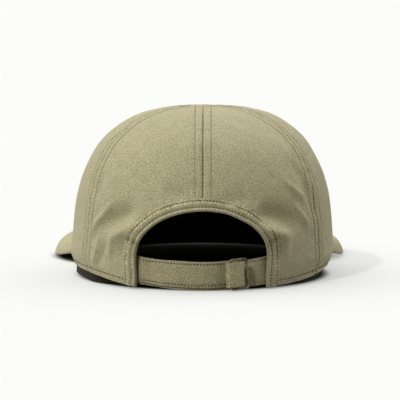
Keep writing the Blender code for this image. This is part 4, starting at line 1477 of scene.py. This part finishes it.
# %% Metal and board materials
PATCH_NOISE = ((1, 4.0), (3, 3.0), (6, 2.0))
PATCH_START = 0.3
PATCH_CONTRAST = 2.5
GRAIN_DEPTH = 0.00004
BRASS_TONES = ((0.050, 0.042, 0.025, 1.0), (0.17, 0.145, 0.090, 1.0))
BOARD_TONES = ((0.68, 0.68, 0.65, 1.0), (0.80, 0.80, 0.77, 1.0))


def solid_material(name, dark, light, patch_size, low_rough, high_rough, metallic):
    """A rigid finish whose colour and gloss vary in patches of some size in millimetres."""
    material, tree, shader = new_material(name)
    place = put(tree, "ShaderNodeTexCoord").outputs["Object"]
    layers = [noise(tree, place, count / (patch_size * MM), detail) for count, detail in PATCH_NOISE]
    patches, gloss, grain = layers
    patches = calc(tree, "MULTIPLY", calc(tree, "SUBTRACT", patches, PATCH_START), PATCH_CONTRAST)
    feed(tree, shader.inputs["Base Color"], blend_colours(tree, patches, dark, light))
    rough = calc(tree, "MULTIPLY", gloss, high_rough - low_rough)
    feed(tree, shader.inputs["Roughness"], calc(tree, "ADD", rough, low_rough))
    feed(tree, shader.inputs["Normal"], bumped(tree, grain, GRAIN_DEPTH))
    shader.inputs["Metallic"].default_value = metallic
    return material


brass = solid_material("antique_brass", *BRASS_TONES, 4.0, low_rough=0.28, high_rough=0.55, metallic=1.0)
board = solid_material("visor_board_plastic", *BOARD_TONES, 9.0, low_rough=0.45, high_rough=0.7, metallic=0.0)
for node, finish in (("visor_board", board), ("button_rivet", brass)):
    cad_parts[node].material_slots[0].material = finish
print("materials:", brass.name, board.name)

# %% Slider buckle
BUCKLE_ROD = 0.8
BUCKLE_HEIGHT = 4.9
BUCKLE_LEFT = 16.4
BUCKLE_RIGHT = 27.4
BUCKLE_CORNER = 2.0
BUCKLE_REACH = 1.1
BUCKLE_TOP = 1.7
ROD_SIDES = 16
BEND_STEPS = 12
BAR_STEPS = 20
BAR_THICK = 0.95


def rod_rings(along, up, side_along, side_up, radius):
    """Rings round a wire that lies at (along, up) on the strap's surface."""
    turn = np.linspace(0, math.tau, ROD_SIDES, endpoint=False)
    out = radius * np.cos(turn)[None, :]
    return strap_point(
        along[:, None] + side_along[:, None] * out,
        up[:, None] + side_up[:, None] * out,
        BUCKLE_HEIGHT + radius * np.sin(turn)[None, :],
    )


def make_buckle():
    """A rounded frame of wire and the bar across it, as one mesh."""
    left, right = BUCKLE_LEFT + BUCKLE_CORNER, BUCKLE_RIGHT - BUCKLE_CORNER
    low, high = BUCKLE_CORNER - BUCKLE_REACH, STRAP_WIDTH + BUCKLE_TOP - BUCKLE_CORNER
    bends = [np.linspace(start, start + 90, BEND_STEPS) for start in (0, 90, 180, 270)]
    turn = np.radians(np.concatenate(bends))
    along = np.repeat([right, left, left, right], BEND_STEPS) + BUCKLE_CORNER * np.cos(turn)
    up = np.repeat([high, high, low, low], BEND_STEPS) + BUCKLE_CORNER * np.sin(turn)
    points, faces = tube(rod_rings(along, up, np.cos(turn), np.sin(turn), BUCKLE_ROD), True)
    bar_up = np.linspace(-BUCKLE_REACH, STRAP_WIDTH + BUCKLE_TOP, BAR_STEPS)
    straight = np.ones(BAR_STEPS)
    bar = rod_rings(BUCKLE_BAR * straight, bar_up, straight, 0 * straight, BAR_THICK * BUCKLE_ROD)
    bar_points, bar_faces = tube(bar, False)
    faces = faces + [[corner + len(points) for corner in face] for face in bar_faces]
    return make_mesh("slider_wire", np.concatenate([points, bar_points]), faces)


dress(make_buckle(), [brass], "slider_frame", "buckle_metal", "buckle_frame")

# %% [markdown]
# ## Stitches
# Every row of stitches is the same small thing repeated along a path, which is what Geometry Nodes are
# for. The rows are drawn as plain edges that know which way is out of the cloth. The tree turns them into
# curves, sets a point for every stitch, and puts a short rounded thread on each, lying along the row, with
# a small dark bead after it: painted shade for the needle hole.

# %% Stitch tree
STITCH_INPUTS = {
    "Geometry": "NodeSocketGeometry", "Pitch": "NodeSocketFloat", "Length": "NodeSocketFloat",
    "Thickness": "NodeSocketFloat", "Hole Size": "NodeSocketFloat", "Thread": "NodeSocketMaterial",
    "Hole": "NodeSocketMaterial", "Seed": "NodeSocketInt",
}
STRAY = 0.14
HOLE_FLATNESS = 0.35


def stitch_turn(tree, seed):
    """Each stitch lies along its row, facing out of the cloth, and strays by a small turn of its own."""
    out = put(tree, "GeometryNodeInputNamedAttribute", {"Name": "out"}, data_type="FLOAT_VECTOR")
    along = put(tree, "GeometryNodeInputTangent").outputs["Tangent"]
    axes = {"Primary Axis": out.outputs["Attribute"], "Secondary Axis": along}
    lie = put(tree, "FunctionNodeAxesToRotation", axes, primary_axis="Z", secondary_axis="X")
    stray = put(tree, "FunctionNodeRandomValue", {2: -STRAY, 3: STRAY, "Seed": seed}, data_type="FLOAT")
    turn = put(tree, "ShaderNodeCombineXYZ", {"Z": stray.outputs[1]}).outputs[0]
    euler = put(tree, "FunctionNodeEulerToRotation", {0: turn}).outputs["Rotation"]
    turns = {"Rotation": lie.outputs["Rotation"], "Rotate By": euler}
    return put(tree, "FunctionNodeRotateRotation", turns, rotation_space="LOCAL").outputs["Rotation"]


def bead(tree, sides, sizes, shift):
    """A small rounded body, stretched to its sizes and moved along the row."""
    ball = put(tree, "GeometryNodeMeshUVSphere", {"Segments": sides, "Rings": 4, "Radius": 0.5})
    size = put(tree, "ShaderNodeCombineXYZ", dict(zip("XYZ", sizes))).outputs[0]
    move = put(tree, "ShaderNodeCombineXYZ", {"X": shift}).outputs[0]
    fed = {"Geometry": ball.outputs["Mesh"], "Scale": size, "Translation": move}
    return put(tree, "GeometryNodeTransform", fed).outputs["Geometry"]


def beads_on(tree, points, turn, body, material):
    """The body at every point of the rows, in its material."""
    fed = {"Points": points, "Instance": body, "Rotation": turn}
    placed = put(tree, "GeometryNodeInstanceOnPoints", fed).outputs["Instances"]
    real = put(tree, "GeometryNodeRealizeInstances", {"Geometry": placed}).outputs["Geometry"]
    return put(tree, "GeometryNodeSetMaterial", {"Geometry": real, "Material": material}).outputs["Geometry"]


def make_stitch_tree():
    """Turns edges into rows of threads, each followed by a dark bead of painted shade for its needle hole."""
    tree = bpy.data.node_groups.new("stitch_rows", "GeometryNodeTree")
    for label, kind in STITCH_INPUTS.items():
        tree.interface.new_socket(label, in_out="INPUT", socket_type=kind)
    tree.interface.new_socket("Geometry", in_out="OUTPUT", socket_type="NodeSocketGeometry")
    given = put(tree, "NodeGroupInput").outputs
    pitch, thick, hole = given["Pitch"], given["Thickness"], given["Hole Size"]
    curve = put(tree, "GeometryNodeMeshToCurve", {"Mesh": given["Geometry"]}).outputs["Curve"]
    spaced = put(tree, "GeometryNodeResampleCurve", {"Curve": curve, "Length": pitch}, mode="LENGTH")
    points, turn = spaced.outputs["Curve"], stitch_turn(tree, given["Seed"])
    stitch = bead(tree, 8, (given["Length"], thick, thick), 0.0)
    hole_sizes = (hole, hole, calc(tree, "MULTIPLY", hole, HOLE_FLATNESS))
    # painted shade: a flat dark bead after each stitch stands for its needle hole
    hole_shade_bead = bead(tree, 6, hole_sizes, calc(tree, "MULTIPLY", pitch, 0.5))
    joined = put(tree, "GeometryNodeJoinGeometry")
    for body, material in ((stitch, given["Thread"]), (hole_shade_bead, given["Hole"])):
        tree.links.new(beads_on(tree, points, turn, body, material), joined.inputs["Geometry"])
    put(tree, "NodeGroupOutput", {"Geometry": joined.outputs["Geometry"]})
    return tree


stitch_tree = make_stitch_tree()
print("stitch tree has", len(stitch_tree.nodes), "nodes")

# %% Stitch rows to meshes
STITCH_THICK = 0.36
SEWING = {
    "stitches_middle": {"pitch": 2.1, "length": 1.45, "hole_size": 0.62, "seed": 7},
    "stitches_hem": {"pitch": 2.9, "length": 1.9, "hole_size": 1.1, "seed": 10},
    "stitches_edges": {"pitch": 2.1, "length": 1.45, "hole_size": 0.95, "seed": 9},
    "stitches_bartack": {"pitch": 1.3, "length": 1.1, "hole_size": 0.5, "seed": 8},
}
THREAD_TONES = ((0.40, 0.35, 0.205, 1.0), (0.58, 0.52, 0.325, 1.0))
# painted shade: the tones of the dark beads that stand for needle holes
HOLE_SHADE_TONES = ((0.030, 0.026, 0.014, 1.0), (0.060, 0.052, 0.030, 1.0))
thread = cloth_material("khaki_thread", *THREAD_TONES, wale=0.5, sheen=0.2)
hole_shade = cloth_material("hole_shade", *HOLE_SHADE_TONES, wale=0.5, sheen=0.0)


def row_mesh(name, rows):
    """Edges along rows of points in millimetres, each point with its way out of the cloth."""
    edges = []
    start = 0
    for points, _ in rows:
        edges += [(start + step, start + step + 1) for step in range(len(points) - 1)]
        start += len(points)
    points, outs = [np.concatenate(values) for values in zip(*rows)]
    mesh = bpy.data.meshes.new(name)
    mesh.from_pydata(metres(points).tolist(), edges, [])
    mesh.attributes.new("out", "FLOAT_VECTOR", "POINT").data.foreach_set("vector", outs.ravel())
    return mesh


def sew(name, rows, pitch, length, hole_size, seed):
    """Stitches and needle holes along rows, as one plain mesh."""
    helper = bpy.data.objects.new(name + "_rows", row_mesh(name + "_rows", rows))
    bpy.context.scene.collection.objects.link(helper)
    modifier = helper.modifiers.new("stitches", "NODES")
    modifier.node_group = stitch_tree
    values = {
        "Pitch": pitch * MM, "Length": length * MM, "Thickness": STITCH_THICK * MM,
        "Hole Size": hole_size * MM, "Thread": thread, "Hole": hole_shade, "Seed": seed,
    }
    for item in stitch_tree.interface.items_tree:
        if item.in_out == "INPUT" and item.name in values:
            modifier[item.identifier] = values[item.name]
    graph = bpy.context.evaluated_depsgraph_get()
    mesh = bpy.data.meshes.new_from_object(helper.evaluated_get(graph))
    mesh.name = name
    mesh.shade_smooth()
    bpy.data.objects.remove(helper)
    return mesh


print("sewing helpers ready")

# %% Rows on the crown, binding and straps
STITCH_LIE = 0.05
HEM_LIE = 0.2
BINDING_LIE = 0.27
BINDING_BASE = -0.7
STRAP_SINK = 0.15
SEAM_END = 11.0
SEAM_ROW_GAP = 0.5
STATIONS_CUT = 6
SEAM_POINTS = 260
HEM_POINTS = 700
ARCH_POINTS = 400
STRAP_POINTS = 200
LEFT_ROW_ENDS = (-STRAP_END + 4, BUCKLE_BAR - 2)
RIGHT_ROW_ENDS = (29.0, STRAP_END - 3)
BARTACK_PLACE = 28.2
BARTACK_LIE = 0.75
BARTACK_SPAN = np.linspace(1.6, 7.8, 12)
BARTACK_LINES = 6
BARTACK_STEP = 0.45


def crown_row(angle, z, lie=STITCH_LIE):
    """Points over the crown's cloth, and the way out of it there."""
    return cloth_point(angle, z, lie), crown_surface(angle, z)[1]


def seam_rows(numbers):
    """Two rows beside each of these seams."""
    rows = []
    for number in numbers:
        middle = SEAM_START + number * SEAM_STEP
        low, high = seam_foot(number, SEAM_ROW_GAP), float(dome_height(SEAM_END / CROWN_HALF))
        z = height_at(np.linspace(climb(low), climb(high), SEAM_POINTS))
        for side in (-1, 1):
            rows.append(crown_row(middle + side * SEAM_ROW / around(middle, z), z))
    return rows


def hem_row():
    """The row round the rim, from the binding's one side to its other."""
    start = float(back_angle(ARCH_HALF + BINDING_WIDTH, WIDEST_Z))
    angle = np.linspace(start, math.pi - start, HEM_POINTS)
    return crown_row(angle, rim_z(angle) + HEM_ROW, HEM_LIE)


def binding_row(station, out, base, lie):
    """Points over the binding, and the way out of it there."""
    points = binding_point(station, out, lie)
    return points, unit(points - binding_point(station, out, base))


def binding_rows():
    """The two rows along the binding, which stop short of its ends."""
    stations = arch_stations(ARCH_POINTS)[0][STATIONS_CUT:-STATIONS_CUT]
    return [binding_row(stations, out, BINDING_BASE, BINDING_LIE) for out in BINDING_ROWS]


def bartack_rows():
    """A dense bar of stitches across the binding, at each side of the opening."""
    stations, along = arch_stations(ARCH_POINTS)
    rows = []
    for middle in (BARTACK_PLACE, along[-1] - BARTACK_PLACE):
        for line in range(BARTACK_LINES):
            place = middle + (line - BARTACK_LINES / 2) * BARTACK_STEP
            station = np.array([np.interp(place, along, column) for column in stations.T])
            rows.append(binding_row(station, BARTACK_SPAN, 0.0, BARTACK_LIE))
    return rows


def strap_rows(start, end, drop, height, hollow):
    """A row along each edge of a strap."""
    along = np.linspace(start, end, STRAP_POINTS)
    height = height + strap_bend(along, hollow)
    rows = []
    for up in (STRAP_ROW, STRAP_WIDTH - STRAP_ROW):
        level = strap_stretch(along, up) - drop
        points = strap_point(along, level, height + STRAP_CLOTH - STRAP_SINK)
        rows.append((points, unit(points - strap_point(along, level, height))))
    return rows


edge_rows = binding_rows()
edge_rows += strap_rows(*LEFT_ROW_ENDS, 0.0, STRAP_OUTER, 0.0)
edge_rows += strap_rows(*RIGHT_ROW_ENDS, STRAP_TAIL_DROP, 0.0, STRAP_HOLLOW)
edge_rows += seam_rows((1, 2, 4, 5))
sewn_rows = {
    "stitches_middle": seam_rows((0, 3)), "stitches_hem": [hem_row()],
    "stitches_edges": edge_rows, "stitches_bartack": bartack_rows(),
}
for name, rows in sewn_rows.items():
    dress(sew(name, rows, **SEWING[name]), [], "cap", "twill")
